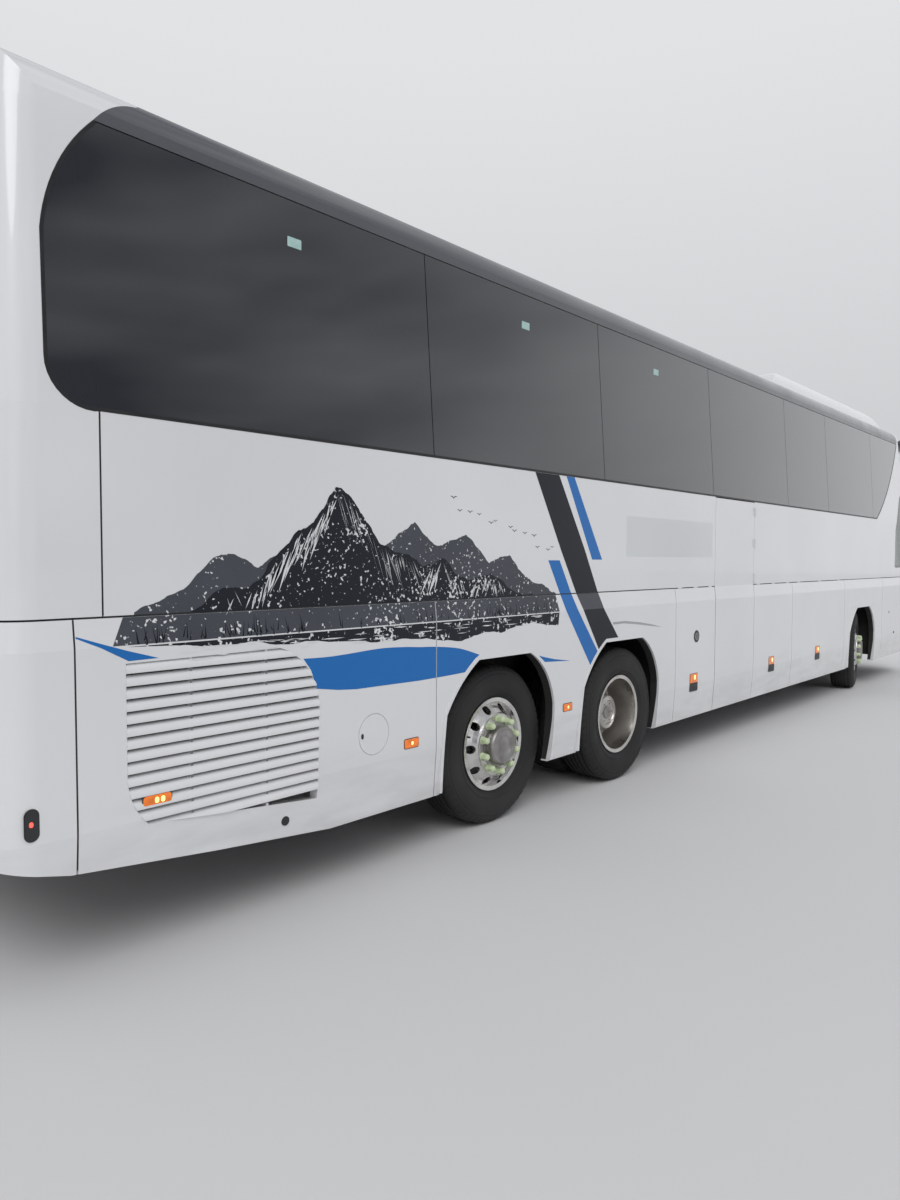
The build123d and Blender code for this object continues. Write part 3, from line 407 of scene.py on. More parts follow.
def spline(points, steps=8):
    """A smooth line through points."""
    padded = [points[0]] + list(points) + [points[-1]]
    line = []
    for a, b, c, d in zip(padded, padded[1:], padded[2:], padded[3:]):
        for i in range(steps):
            t = i / steps
            line.append(tuple(0.5 * (2 * q + (r - p) * t + (2 * p - 5 * q + 4 * r - s) * t * t
                                     + (3 * q - p - 3 * r + s) * t ** 3) for p, q, r, s in zip(a, b, c, d)))
    return line + [tuple(points[-1])]


def fine_line(points, step):
    """More points along straight runs."""
    line = []
    for a, b in zip(points, points[1:]):
        count = max(1, round(dist(a, b) / step))
        line += [tuple(p + (q - p) * k / count for p, q in zip(a, b)) for k in range(count)]
    return line + [points[-1]]


# Livery on the right and left sides: films laid on each panel, cut at its seams
SEAM = 0.004
LIFT, FILM_T, SAME_POINT = 0.0006, 0.0004, 2e-5
SECOND_LIFT, THIRD_LIFT = LIFT * 1.9, LIFT * 2.8
PANELS = [(s0 + SEAM, s1 - SEAM, z0, z1) for seams, bands in (
    ([0.345, 2.447, 5.477, 6.27], [(SKIRT_Z, BULGE_Z), (BULGE_Z, BEVEL_Z), (BEVEL_Z, WAIST_Z - SEAM)]),
    ([0.467, 6.27], [(WAIST_Z + SEAM, SILL_Z - 0.002)]),
) for s0, s1 in zip(seams, seams[1:]) for z0, z1 in bands]


def clip(outline, axis, limit, keep_above):
    """Cuts a polygon along one axis."""
    kept = []
    for here, there in zip(outline, outline[1:] + outline[:1]):
        in_here, in_there = ((point[axis] >= limit) == keep_above for point in (here, there))
        if in_here:
            kept.append(here)
        if in_here != in_there:
            t = (limit - here[axis]) / (there[axis] - here[axis])
            kept.append(tuple(h + (o - h) * t for h, o in zip(here, there)))
    return kept


def lay_face(bm, outline, panel, side, lift):
    """Adds the outer face of one film on one panel, if it has an area there."""
    for axis, limit, above in zip((0, 0, 1, 1), panel, (True, False, True, False)):
        outline = clip(outline, axis, limit, above) if len(outline) > 2 else []
    clean = []
    for point in outline:
        if not clean or abs(point[0] - clean[-1][0]) + abs(point[1] - clean[-1][1]) > SAME_POINT:
            clean.append(point)
    if len(clean) > 2 and abs(clean[0][0] - clean[-1][0]) + abs(clean[0][1] - clean[-1][1]) < SAME_POINT:
        clean.pop()
    if len(clean) < 3:
        return
    face = bm.faces.new([bm.verts.new((at(s), side * (side_y(z) + lift), z)) for s, z in clean])
    face.normal_update()
    if face.normal.y * side < 0:
        face.normal_flip()


def thicken(bm, depth):
    """Closes an open sheet into a thin solid, its inner face set back towards the middle plane."""
    bmesh.ops.remove_doubles(bm, verts=bm.verts[:], dist=SAME_POINT)
    outer, rims = bm.faces[:], [e for e in bm.edges if e.is_boundary]
    inner = {v: bm.verts.new(v.co - Vector((0, depth if v.co.y > 0 else -depth, 0))) for v in bm.verts[:]}
    for face in outer:
        bm.faces.new([inner[v] for v in reversed(face.verts)])
    for a, b in (edge.verts for edge in rims):
        bm.faces.new([a, b, inner[b], inner[a]])


def film(name, outlines, mat, lift=LIFT):
    """Lays outlines of (station, height) on both sides."""
    for side, word in BOTH:
        bm = bmesh.new()
        for outline in outlines:
            for panel in PANELS:
                lay_face(bm, outline, panel, side, lift)
        bmesh.ops.triangulate(bm, faces=bm.faces[:], ngon_method="EAR_CLIP")
        thicken(bm, FILM_T)
        piece(name + "_" + word, bm, mat)


BLACK_STRIPE = [
    (3.429, 2.29), (3.711, 2.29), (4.052, 1.775), (4.235, 1.466), (4.3, 1.35), (4.515, 1.121), (4.338, 1.121),
    (4.285, 1.089), (4.233, 1.053), (4.02, 1.35), (3.945, 1.466), (3.743, 1.775)]
# The black stripe's part on the bevel, laid in slate as painted sky reflection
BLACK_STRIPE_BEVEL_PAINTED_REFLECTION = [(3.945, 1.466), (4.235, 1.466), (4.3, 1.351), (4.02, 1.351)]
BLUE_STRIPE_LOW = [
    (3.591, 1.703), (3.728, 1.703), (3.88, 1.466), (3.95, 1.35), (4.216, 1.04), (4.163, 0.993),
    (4.118, 0.946), (3.8, 1.35), (3.74, 1.466)]
BLUE_STRIPE_HIGH = [(3.802, 2.29), (3.902, 2.29), (4.289, 1.709), (4.15, 1.709)]
SWOOSH_TOP = [
    (1.472, 1.219), (1.62, 1.215), (1.766, 1.219), (1.994, 1.229), (2.18, 1.223), (2.308, 1.213),
    (2.451, 1.204), (2.656, 1.178), (2.856, 1.121)]
SWOOSH_FOOT = [
    (2.8, 1.107), (2.74, 1.063), (2.702, 1.032), (2.56, 1.028), (2.452, 1.026), (2.308, 1.024),
    (1.994, 1.028), (1.82, 1.03), (1.7, 1.04), (1.557, 1.062), (1.519, 1.16)]
SWOOSH_TAIL = [
    (0.351, 1.4), (0.45, 1.366), (0.56, 1.33), (0.7, 1.289), (0.566, 1.287), (0.45, 1.349), (0.351, 1.393)]
SWOOSH_POINT = [(3.47, 1.068), (3.55, 1.05), (3.66, 1.028), (3.853, 1.001), (3.7, 1.01), (3.542, 1.019)]
# Painted shade: a tapering grey line where a crease in the panel fades out, right of the drive arch
CREASE_SHADE_OUTLINE = [
    (4.43, 1.24), (4.62, 1.24), (4.85, 1.218), (5.05, 1.19), (5.225, 1.158), (5.02, 1.18), (4.8, 1.204),
    (4.6, 1.222), (4.44, 1.222)]

film("stripe_black", [BLACK_STRIPE], BLACK)
film("stripe_black_bevel_painted_reflection", [BLACK_STRIPE_BEVEL_PAINTED_REFLECTION], SLATE, lift=LIFT * 1.8)
film("stripes_blue", [BLUE_STRIPE_LOW, BLUE_STRIPE_HIGH, spline(SWOOSH_TOP)[:-1] + SWOOSH_FOOT, SWOOSH_TAIL,
                      SWOOSH_POINT], BLUE)
# A grey film of painted shade, not livery
film("crease_painted_shade", [CREASE_SHADE_OUTLINE], CREASE_SHADE_GREY)


def broken(points, dice, rough, depth):
    """A line through points that breaks up like rock: each middle is pushed off by a falling amount."""
    for _ in range(depth):
        line = [points[0]]
        for a, b in zip(points, points[1:]):
            push = dice.uniform(-rough, rough) * dist(a, b)
            line += [((a[0] + b[0]) / 2, (a[1] + b[1]) / 2 + push), b]
        points = line
    return points


def scratch(s, z, run, drop, width):
    """A tapered mark down a slope."""
    return [(s, z), (s + run * 0.45 + width, z - drop * 0.5), (s + run, z - drop),
            (s + run * 0.5 - width, z - drop * 0.45)]


FAR_HILLS = [
    (0.6, 0.01), (0.8, 0.09), (1.02, 0.25), (1.22, 0.19), (1.4, 0.3), (2.02, 0.3), (2.28, 0.44), (2.48, 0.31),
    (2.72, 0.38), (2.95, 0.21), (3.16, 0.26), (3.34, 0.12), (3.56, 0.05), (3.7, 0.0)]
NEAR_HILLS = [
    (0.86, 0.0), (1.06, 0.1), (1.22, 0.13), (1.44, 0.36), (1.53, 0.4), (1.7, 0.6), (1.82, 0.53), (2.0, 0.32),
    (2.14, 0.27), (2.34, 0.19), (2.52, 0.24), (2.72, 0.12), (2.96, 0.15), (3.18, 0.04), (3.42, 0.0)]
LAKE_TOP = [(0.56, 1.345), (3.712, 1.345)]
LAKE_FOOT = [
    (3.7, 1.262), (3.4, 1.3), (3.05, 1.246), (2.9, 1.262), (2.674, 1.222), (2.45, 1.243), (2.1, 1.262),
    (1.75, 1.285), (1.45, 1.3), (1.16, 1.326), (0.95, 1.322), (0.78, 1.336)]
# The lake's band on the bevel, in slate as painted sky reflection on black print
LAKE_BEVEL_PAINTED_REFLECTION = [(0.5, 1.352), (3.715, 1.352), (3.68, 1.4655), (0.55, 1.4655)]
BIRD = [(-1, 0.45), (-0.35, 0.3), (0, 0), (0.35, 0.34), (1, 0.42), (0.42, 0.52), (0, 0.22), (-0.42, 0.5)]
BIRDS, RIPPLES, REEDS = 13, 46, 120


def artwork():
    """Hills over a lake in black and slate, in the manner of a woodcut, with a wheeling flock. The lake's
    black print on the bevel is laid in slate as painted sky reflection.
    """
    dice = Random(11)
    foot = WAIST_Z + SEAM
    far, near = (broken([(s, foot + h) for s, h in hills], dice, rough, 4)
                 for hills, rough in ((FAR_HILLS, 0.1), (NEAR_HILLS, 0.13)))
    film("hills_far", [far + [(far[-1][0], foot), (far[0][0], foot)]], ART_SLATE)
    film("hills_near", [near + [(near[-1][0], foot), (near[0][0], foot)]], ART_BLACK, lift=SECOND_LIFT)
    marks = []
    for i in range(3, len(near) - 3):
        s, z = near[i]
        fall = near[i + 2][1] - near[i - 2][1]
        high = z - foot
        if high < 0.1 or dice.random() < 0.42:
            continue
        away = 1 if fall < 0 else -1
        drop = min(high * 0.72, dice.uniform(0.05, 0.24))
        top = z - dice.uniform(0.012, 0.05)
        run = away * drop * dice.uniform(0.25, 0.6)
        marks.append(scratch(s - away * 0.012, top, run, drop, dice.uniform(0.002, 0.0055)))
    film("hills_marks", marks, WHITE, THIRD_LIFT)
    birds = []
    for k in range(BIRDS):
        s, z = 2.62 + 0.085 * k + dice.uniform(-0.04, 0.04), 2.05 - 0.026 * k + dice.uniform(-0.06, 0.06)
        w = dice.uniform(0.02, 0.036)
        birds.append([(s + w * across, z + w * up) for across, up in BIRD])
    film("hills_birds", birds, BLACK)
    # Slate on the bevel band under the lake is painted sky reflection on black print
    film("lake_bevel_painted_reflection", [LAKE_BEVEL_PAINTED_REFLECTION], ART_SLATE)
    film("lake", [LAKE_TOP + broken(LAKE_FOOT, dice, 0.05, 3)], ART_BLACK)
    ripples = []
    for _ in range(RIPPLES):
        s, z = dice.uniform(0.75, 3.45), BEVEL_Z - dice.uniform(0.012, 0.085)
        w, h = dice.uniform(0.04, 0.16), dice.uniform(0.002, 0.0045)
        ripples.append([(s, z), (s + w * 0.3, z + h), (s + w, z + h * 0.2), (s + w * 0.55, z - h)])
    film("lake_ripples", ripples, WHITE, SECOND_LIFT)
    reeds = []
    for _ in range(REEDS):
        s = dice.choice((dice.uniform(0.6, 1.5), dice.uniform(0.6, 3.66), dice.uniform(2.8, 3.66)))
        h, lean = dice.uniform(0.02, 0.085), dice.uniform(-0.018, 0.018)
        z = BEVEL_Z + dice.uniform(-0.004, 0.022)
        reeds.append([(s - 0.0035, z), (s + lean, z + h), (s + 0.0035, z)])
    film("lake_reeds", reeds, BLACK, lift=SECOND_LIFT)


artwork()
film("sign_panel", [[(4.65, 1.735), (6.208, 1.735), (6.208, 2.045), (4.65, 2.045)]], PALE)


# Materials of the CAD nodes
def dress(mat, names):
    for name in names.split():
        node = frame["nodes"][name]
        if not node.material_slots:
            node.data.materials.append(mat)
        for holder in node.material_slots:
            holder.material = mat


dress(WHITE, "side_wall_right side_wall_left roof roof_unit rear_wall rear_bumper front_panel front_bumper "
             "lower_panels_right lower_panels_left engine_grilles engine_lid emergency_door passenger_door "
             "flap_left_rear flap_left_middle flap_left_front "
             "flap_right_rear flap_right_middle flap_right_front")
dress(SIDE_GLASS, "side_glass rear_window")
dress(CLEAR_GLASS, "windscreen")
dress(SMOKED_GLASS, "driver_window passenger_door_glass")
dress(CANTRAIL, "cantrails")
dress(FRAME_DARK, "frame wheel_tubs bulkheads propeller_shaft passenger_door_arm")
dress(FLOOR, "cabin_floor luggage_floor rear_steps front_platform")
dress(TRIM, "dashboard")
dress(PLASTIC, "mirrors steering_wheel")
dress(ENGINE, "engine radiators")
dress(IRON, "tag_axle drive_axle front_axle knuckle_left knuckle_right")
dress(CLOTH, "seats")
dress(RED, "tail_lamps")
dress(LAMP_SHELL, "headlamps")
dress(TYRE, "tag_tyre_left drive_tyres_left front_tyre_left "
            "tag_tyre_right drive_tyres_right front_tyre_right")
dress(ALLOY, "tag_wheel_left front_wheel_left tag_wheel_right front_wheel_right")
dress(DEEP_ALLOY, "drive_wheel_left drive_wheel_right")


# Wheels
SIDES = ("left", "right")
TYRE_HALF = 0.149
TYRE_R = (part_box("tag_tyre_left")[1].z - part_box("tag_tyre_left")[0].z) / 2
CROWN_R = TYRE_R - 0.004
TWIN_SHIFT = 0.17
STUD_COUNT, STUD_R, DRIVE_STUD_R = 10, 0.1675, 0.182
RING_STEPS = 240
# A tyre's section: radius and distance in from its side, over the sidewall with its rings and the shoulder
TYRE_WALL = [
    (0.285, 0.034), (0.304, 0.031), (0.312, 0.026), (0.325, 0.014), (0.338, 0.0095), (0.341, 0.006),
    (0.349, 0.005), (0.352, 0.0075), (0.372, 0.004), (0.392, 0.0012), (0.412, 0.0003), (0.432, 0.0014),
    (0.444, 0.0034),
    (0.4465, 0.0012), (0.454, 0.0022), (0.457, 0.0058), (0.47, 0.009), (0.473, 0.0075), (0.489, 0.016),
    (0.498, 0.022), (0.503, 0.028), (0.5105, 0.038), (0.5112, 0.05)]
GROOVES = (0.078, 0.036, 0.0)
GROOVE_SECTION = ((0.0055, 0), (0.004, -0.012), (-0.004, -0.012), (-0.0055, 0))
TREAD_R, SHOULDER_R, LUG_DEPTH, WEAVES, WEAVE_Y = 0.497, 0.488, 0.0065, 60, 0.003
JOINTS = {joint["name"]: joint for joint in frame["joints"]}


def axle_x(joint):
    return JOINTS[joint]["pos_m"][0]


def wheel_place(joint, out_shift=0.0):
    """A matrix whose +Y runs outboard along the wheel's axle, from the joint's own place."""
    centre = Vector(JOINTS[joint]["pos_m"])
    outboard = Vector(JOINTS[joint]["axis"]).normalized()
    if outboard.y * centre.y < 0:
        outboard = -outboard
    turn = Matrix.Rotation(atan2(-outboard.x, outboard.y), 4, "Z")
    return Matrix.Translation(centre + outboard * out_shift) @ turn


def tyre_profile():
    """Bead, sidewall, shoulder and tread with its grooves, and the same mirrored."""
    left = [(r, TYRE_HALF - inset) for r, inset in TYRE_WALL]
    for centre in GROOVES:
        rise = 0.0035 * (1 - (centre / 0.111) ** 2)
        left += [(CROWN_R + rise + dr, centre + dy) for dy, dr in GROOVE_SECTION]
    return left + [(r, -y) for r, y in reversed(left[:-4])]


def tread_wave(angle, r, y):
    """The grooves weave from side to side, and notches cut the shoulders into lugs."""
    turns = angle / (2 * pi)
    if r > TREAD_R and abs(y) < 0.1:
        return r, y + WEAVE_Y * (abs(turns * WEAVES % 1.0 - 0.5) * 4 - 1)
    if r > SHOULDER_R and round(turns * RING_STEPS) % 4 == 0:
        return r - LUG_DEPTH, y * 0.988
    return r, y


for node, joint, body, shifts in (("tag_tyre", "tag_spin", "tag_wheel", (0.0,)),
                                  ("drive_tyres", "drive_spin", "drive_wheels", (TWIN_SHIFT, -TWIN_SHIFT)),
                                  ("front_tyre", "front_spin", "front_wheel", (0.0,))):
    for side in SIDES:
        bm = bmesh.new()
        for shift in shifts:
            closed_ring(bm, tyre_profile(), wheel_place(joint + "_" + side, shift), 0, RING_STEPS, tread_wave)
        bmesh.ops.remove_doubles(bm, verts=bm.verts[:], dist=1e-5)
        obj = piece(node + "_treaded_" + side, bm, TYRE, body + "_" + side, 32)
        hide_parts(node + "_" + side)


def ring_spots(place, count, r, y, turn=0.5):
    """Places evenly round a wheel's axle, each facing outboard."""
    for i in range(count):
        angle = 2 * pi * (i + turn) / count
        yield place @ move(r * cos(angle), y, r * sin(angle)) @ Matrix.Rotation(-angle, 4, "Y")


# Stacks on the hubs, as (distance outboard, radius)
CAP_ROWS = [(0.0, 0.027), (0.005, 0.027), (0.007, 0.0235), (0.036, 0.0225), (0.046, 0.0205), (0.052, 0.014),
            (0.0535, 0.007)]
NUT_ROWS = [(0.0, 0.0225), (0.005, 0.0225), (0.006, 0.018), (0.024, 0.018), (0.027, 0.016)]
STUD_ROWS = [(0.0, 0.0105), (0.036, 0.0105), (0.038, 0.009)]
BOLT_ROWS = [(0.0, 0.007), (0.0045, 0.007), (0.0052, 0.006)]
VALVE_ROWS = [(0.0, 0.0055), (0.02, 0.005), (0.022, 0.0065), (0.034, 0.006)]
LONG_VALVE_ROWS = [(0.0, 0.0055), (0.12, 0.005), (0.122, 0.0065), (0.136, 0.006)]
# Turned profiles, as radius and distance outboard of the wheel's plane
HUB_COVER = [
    (0.0, 0.2157), (0.03, 0.2157), (0.033, 0.2148), (0.062, 0.2148), (0.064, 0.2168), (0.086, 0.2168),
    (0.088, 0.2158), (0.104, 0.2158), (0.107, 0.218), (0.112, 0.2185), (0.1165, 0.216), (0.1255, 0.2008),
    (0.1262, 0.164), (0.15, 0.1622), (0.15, 0.1605), (0.1248, 0.1602), (0.1245, 0.1995), (0.1155, 0.214),
    (0.0, 0.214)]
SINGLE_NUT_RING = [(0.1935, 0.159), (0.1945, 0.164), (0.1965, 0.1652), (0.1985, 0.164), (0.1995, 0.159)]
DRIVE_BOSS = [(0.0, 0.0255), (0.052, 0.0255), (0.052, 0.031), (0.047, 0.0345), (0.022, 0.0345), (0.02, 0.032),
              (0.0, 0.032)]

for axle in ("tag", "front"):
    for side in SIDES:
        place = wheel_place(axle + "_spin_" + side)
        bm = bmesh.new()
        for spot in ring_spots(place, STUD_COUNT, STUD_R, 0.1595):
            add_stack(bm, spot, CAP_ROWS, 12, 1, 0.07)
        closed_ring(bm, SINGLE_NUT_RING, place, 0)
        add_lathe(bm, HUB_COVER, 72, place, 2)
        for spot in ring_spots(place, 1, 0.262, 0.1, 0.05):
            add_stack(bm, spot, VALVE_ROWS, 10, 3)
        piece(axle + "_wheel_trim_" + side, bm, [ALLOY, NUT_CAP, HUB, PLASTIC],
              axle + "_wheel_" + side)

for side in SIDES:
    place = wheel_place("drive_spin_" + side, TWIN_SHIFT)
    bm = bmesh.new()
    for spot in ring_spots(place, STUD_COUNT, DRIVE_STUD_R, -0.1525):
        add_stack(bm, spot, NUT_ROWS, 6, 0)
        add_stack(bm, spot, STUD_ROWS, 10, 0)
    for spot in ring_spots(place, 12, 0.132, 0.0135, 0.0):
        add_stack(bm, spot, BOLT_ROWS, 6, 0)
    add_lathe(bm, DRIVE_BOSS, 48, place, 0)
    for spot in ring_spots(place, 6, 0.072, 0.0258, 0.0):
        add_stack(bm, spot, BOLT_ROWS, 6, 0)
    for spot in ring_spots(place, 1, 0.232, -0.135, 0.05):
        add_stack(bm, spot, LONG_VALVE_ROWS, 10, 1)
    piece("drive_wheel_trim_" + side, bm, [HUB, PLASTIC], "drive_wheels_" + side)


# Lamps and small fittings on the sides
def add_side_plate(bm, side, s, z, width, height, out, corner, mat=0, base=0.0, steps=6):
    """A flat plate on the side at its middle height, with a domed rim."""
    rims = ((0.0, base), (0.0, base + (out - base) * 0.7), (0.2, base + (out - base) * 0.93), (0.45, out))
    add_plate(bm, lambda across, up, rise: (at(s + across), side * (side_y(z) + rise), z + up),
              width, height, corner, rims, mat, steps)


def side_lamp(name, side, s, z, width, height, corner, proud, spots, mats, body="body", top=1.0):
    """A lamp in a dark bezel. top is the share of its height that the lens fills. spots are its lit bulbs."""
    bm = bmesh.new()
    foot = height * (1 - top)
    middle = z + foot / 2
    add_side_plate(bm, side, s, z, width + 0.008, height + 0.008, proud * 0.45, corner + 0.004)
    add_side_plate(bm, side, s, middle, width, height * top, proud, corner, 1, proud * 0.3)
    if foot:
        add_side_plate(bm, side, s, z - (height - foot) / 2, width, foot * 0.9, proud * 0.7, corner * 0.5, 0,
                       proud * 0.3)
    for shift, rise, r in spots:
        add_side_plate(bm, side, s + shift, middle + rise, r * 1.5, r * 2, min(proud * 1.12, 0.0055),
                       r * 0.7, 2, proud * 0.8)
    piece(name, bm, [PLASTIC, *mats], body)


SMALL_BULB = [(0.004, 0.0, 0.01)]
TWIN_BULBS = [(-0.004, 0.002, 0.013), (0.024, 0.002, 0.013)]
AMBERS = [AMBER, AMBER_LIT]
# Name, station, height, size along and up, corner, how proud, bulbs as (shift, rise, radius), lens and bulb
SIDE_LAMPS = [
    ("grille", 0.685, 0.69, 0.13, 0.048, 0.014, 0.0052, TWIN_BULBS, AMBERS),
    ("ahead_of_filler", 2.238, 0.68, 0.112, 0.05, 0.008, 0.0045, SMALL_BULB, AMBERS),
    ("between_wheels", 3.823, 0.678, 0.112, 0.05, 0.008, 0.0045, SMALL_BULB, AMBERS),
    ("tail", 0.169, 0.701, 0.05, 0.118, 0.024, 0.0045, [(-0.003, 0.004, 0.01)], [PLASTIC, RED_LIT]),
]
FLAP_LAMPS = (("rear", 5.835, 0.637), ("middle", 7.682, 0.632), ("front", 9.141, 0.632))
FLAP_LAMP_SIZE, FLAP_LAMP_LENS = 0.15, 0.52
LOCK_S, LOCK_Z = 5.879, 1.039

for side, word in BOTH:
    for name, *values in SIDE_LAMPS:
        side_lamp("marker_%s_%s" % (name, word), side, *values)
    for place, s, z in FLAP_LAMPS:
        flap = "flap_%s_%s" % (word, place)
        side_lamp("marker_%s" % flap, side, s, z, FLAP_LAMP_SIZE, FLAP_LAMP_SIZE, 0.01, 0.0045,
                  [(0.016, 0.006, 0.02)], AMBERS, flap, FLAP_LAMP_LENS)
        if place == "rear":
            bm = bmesh.new()
            add_side_plate(bm, side, LOCK_S, LOCK_Z, 0.106, 0.106, 0.003, 0.053, steps=10)
            add_side_plate(bm, side, LOCK_S, LOCK_Z, 0.066, 0.066, 0.0042, 0.033, 1, 0.0025, 10)
            add_side_plate(bm, side, LOCK_S, LOCK_Z, 0.014, 0.044, 0.005, 0.006, 0, 0.004)
            piece("lock_%s" % flap, bm, [PLASTIC, HUB], body=flap)
    bm = bmesh.new()
    add_side_plate(bm, side, 1.864, 0.774, 0.016, 0.028, 0.0035, 0.008)
    add_side_plate(bm, side, 1.366, 0.439, 0.046, 0.046, 0.004, 0.023, steps=8)
    add_side_plate(bm, side, 1.366, 0.439, 0.026, 0.026, 0.0055, 0.013, 0, 0.003, 8)
    add_side_plate(bm, side, 12.268, 0.971, 0.03, 0.03, 0.003, 0.015)
    if side == RIGHT:
        add_side_plate(bm, side, 12.56, 0.661, 0.05, 0.028, 0.004, 0.008)
    piece("plugs_" + word, bm, PLASTIC)

# Painted shade on the grille uprights: grey strips that darken them to the shade of the gaps where they show
# between the slats: station of each, and its lower end
UPRIGHTS = ((0.856, 0.59), (1.256, 0.552))
SHADE_STRIP_HALF, SHADE_STRIP_TOP, SHADE_STRIP_IN, SHADE_STRIP_OUT = 0.0064, 1.27, 1.2641, 1.2647
bm = bmesh.new()
for side in (RIGHT, LEFT):
    for s, foot in UPRIGHTS:
        low, high = sorted((side * SHADE_STRIP_IN, side * SHADE_STRIP_OUT))
        add_box(bm, (at(s - SHADE_STRIP_HALF), low, foot), (at(s + SHADE_STRIP_HALF), high, SHADE_STRIP_TOP), 0.0002)
piece("grille_upright_painted_shade", bm, TRIM)

# Stickers on the glass, a little clear of it as it leans
bm = bmesh.new()
for side in (RIGHT, LEFT):
    for s in (1.495, 3.404, 5.211):
        add_side_plate(bm, side, s, 3.23, 0.085, 0.06, 0.0012, 0.004)
piece("glass_stickers", bm, STICKER)


def arc3(a, b, c, steps):
    """Points on the circle through three points, from a to c."""
    a, b, c = (complex(*point) for point in (a, b, c))
    w = (c - a) / (b - a)
    centre = a + (b - a) * (w - abs(w) ** 2) / (2j * w.imag)
    start, mid, end = (phase(point - centre) for point in (a, b, c))
    sweep = (end - start) % (2 * pi)
    if (mid - start) % (2 * pi) > sweep:
        sweep -= 2 * pi
    line = [centre + rect(abs(a - centre), start + sweep * k / steps) for k in range(steps + 1)]
    return [(point.real, point.imag) for point in line]


def add_band(bm, line, side, width, proud):
    """A flat strip with a raised middle along a line of (station, height) on the side."""
    rows = []
    for (s, z), (s0, z0), (s1, z1) in zip(line, line[:1] + line, line[1:] + line[-1:]):
        length = dist((s0, z0), (s1, z1))
        ns, nz = -(z1 - z0) / length, (s1 - s0) / length
        row = []
        for share, rise in ((-0.5, 0.0), (-0.42, proud), (0.42, proud), (0.5, 0.0)):
            ps, pz = s + ns * width * share, z + nz * width * share
            row.append((at(ps), side * (side_y(pz) + rise), pz))
        rows.append(row)
    skin(bm, rows)


# The rubber edge round the band of glass
GLASS_EDGE = (arc3((12.813, 3.432), (12.264, 2.779), (11.567, 2.292), 18)
              + arc3((0.475, 2.292), (0.331, 2.329), (0.266, 2.47), 10)
              + arc3((0.274, 2.951), (0.352, 3.215), (0.508, 3.44), 12))
bm = bmesh.new()
for side in (RIGHT, LEFT):
    add_band(bm, GLASS_EDGE, side, 0.016, 0.0018)
piece("glass_edge_rubber", bm, SEAL)


# Pieces that sit on curved faces, found by lines cast at the CAD nodes
def grid_tree(*names):
    verts, faces = [], []
    for name in names:
        mesh = frame["nodes"][name].data
        base = len(verts)
        verts += [v.co.copy() for v in mesh.vertices]
        faces += [[base + i for i in polygon.vertices] for polygon in mesh.polygons]
    return BVHTree.FromPolygons(verts, faces)


def cast(tree, start, way):
    """Where a line first meets the nodes, and the outward normal there."""
    spot, normal = tree.ray_cast(Vector(start), Vector(way).normalized())[:2]
    if spot is None:
        return None, None
    return spot, -normal if normal.dot(Vector(way)) > 0 else normal


def facing(spot, normal):
    """A matrix on a face: +Y outward, +Z up."""
    return Matrix.Translation(spot) @ normal.to_track_quat("Y", "Z").to_matrix().to_4x4()


TAIL_FACE = grid_tree("rear_wall", "rear_window", "rear_bumper", "tail_lamps", "engine_lid")
NOSE_FACE = grid_tree("front_panel", "windscreen", "front_bumper", "headlamps")
MIRROR_FACE, ROOF_FACE = grid_tree("mirrors"), grid_tree("roof_unit")


def on_tail(y, z):
    return facing(*cast(TAIL_FACE, (TAIL_X - 1, y, z), (1, 0, 0)))


def on_nose(y, z):
    return facing(*cast(NOSE_FACE, (-TAIL_X + 1, y, z), (-1, 0, 0)))


def add_face_plate(bm, matrix, width, height, out, corner, mat=0, base=-0.004):
    """A plate with a domed rim, flat on a face."""
    rims = ((0.0, base), (0.0, base + (out - base) * 0.8), (0.25, out))
    add_plate(bm, lambda across, up, rise: matrix @ Vector((across, rise, up)),
              width, height, corner, rims, mat, 5)


def add_bead(bm, place, width, height, middle, corner):
    """A rubber bead round an opening in a face."""
    outline = fine_line([(y, middle + z) for y, z in rounded_outline(width, height, corner)], 0.06)
    points = [place(y, z) @ Vector((0, -0.001, 0)) for y, z in outline]
    add_tube(bm, points + [points[0]], 0.009)


def add_round_lamp(bm, place, r, rise, width, out, mat, ring_mat, steps=40):
    """A lens that bulges from a flat rim, in a closed ring."""
    rim = 0.004
    bulge = [(rim + rise * sin(radians(a)), r * cos(radians(a))) for a in (18, 36, 54, 72, 85)]
    add_stack(bm, place, [(-0.006, r), (rim, r)] + bulge, steps, mat)
    closed_ring(bm, [(r, -0.006), (r, out * 0.8), (r + width * 0.3, out), (r + width * 0.8, out * 0.9),
                     (r + width, -0.006)], place, ring_mat, steps)


# Tail: lamps, high brake lamp and reflectors, window bead, plate with its lamps, latches
HIGH_LAMP_Z = 3.455
bm = bmesh.new()
for side in (RIGHT, LEFT):
    for z, mat in ((1.305, 0), (1.14, 1), (0.975, 2)):
        add_round_lamp(bm, on_tail(side * 1.055, z), 0.064, 0.01, 0.01, 0.007, mat, 3)
    add_face_plate(bm, on_tail(side * 0.95, 0.585), 0.11, 0.05, 0.003, 0.008)
    add_face_plate(bm, on_tail(side * 0.62, HIGH_LAMP_Z), 0.12, 0.026, 0.006, 0.008)
add_face_plate(bm, on_tail(0.0, HIGH_LAMP_Z), 0.56, 0.03, 0.006, 0.01)
piece("tail_lamp_lenses", bm, [RED, AMBER, CLEAR, CHROME])

bm = bmesh.new()
add_bead(bm, on_tail, 1.9, 0.98, 2.83, 0.16)
piece("rear_window_bead", bm, SEAL)

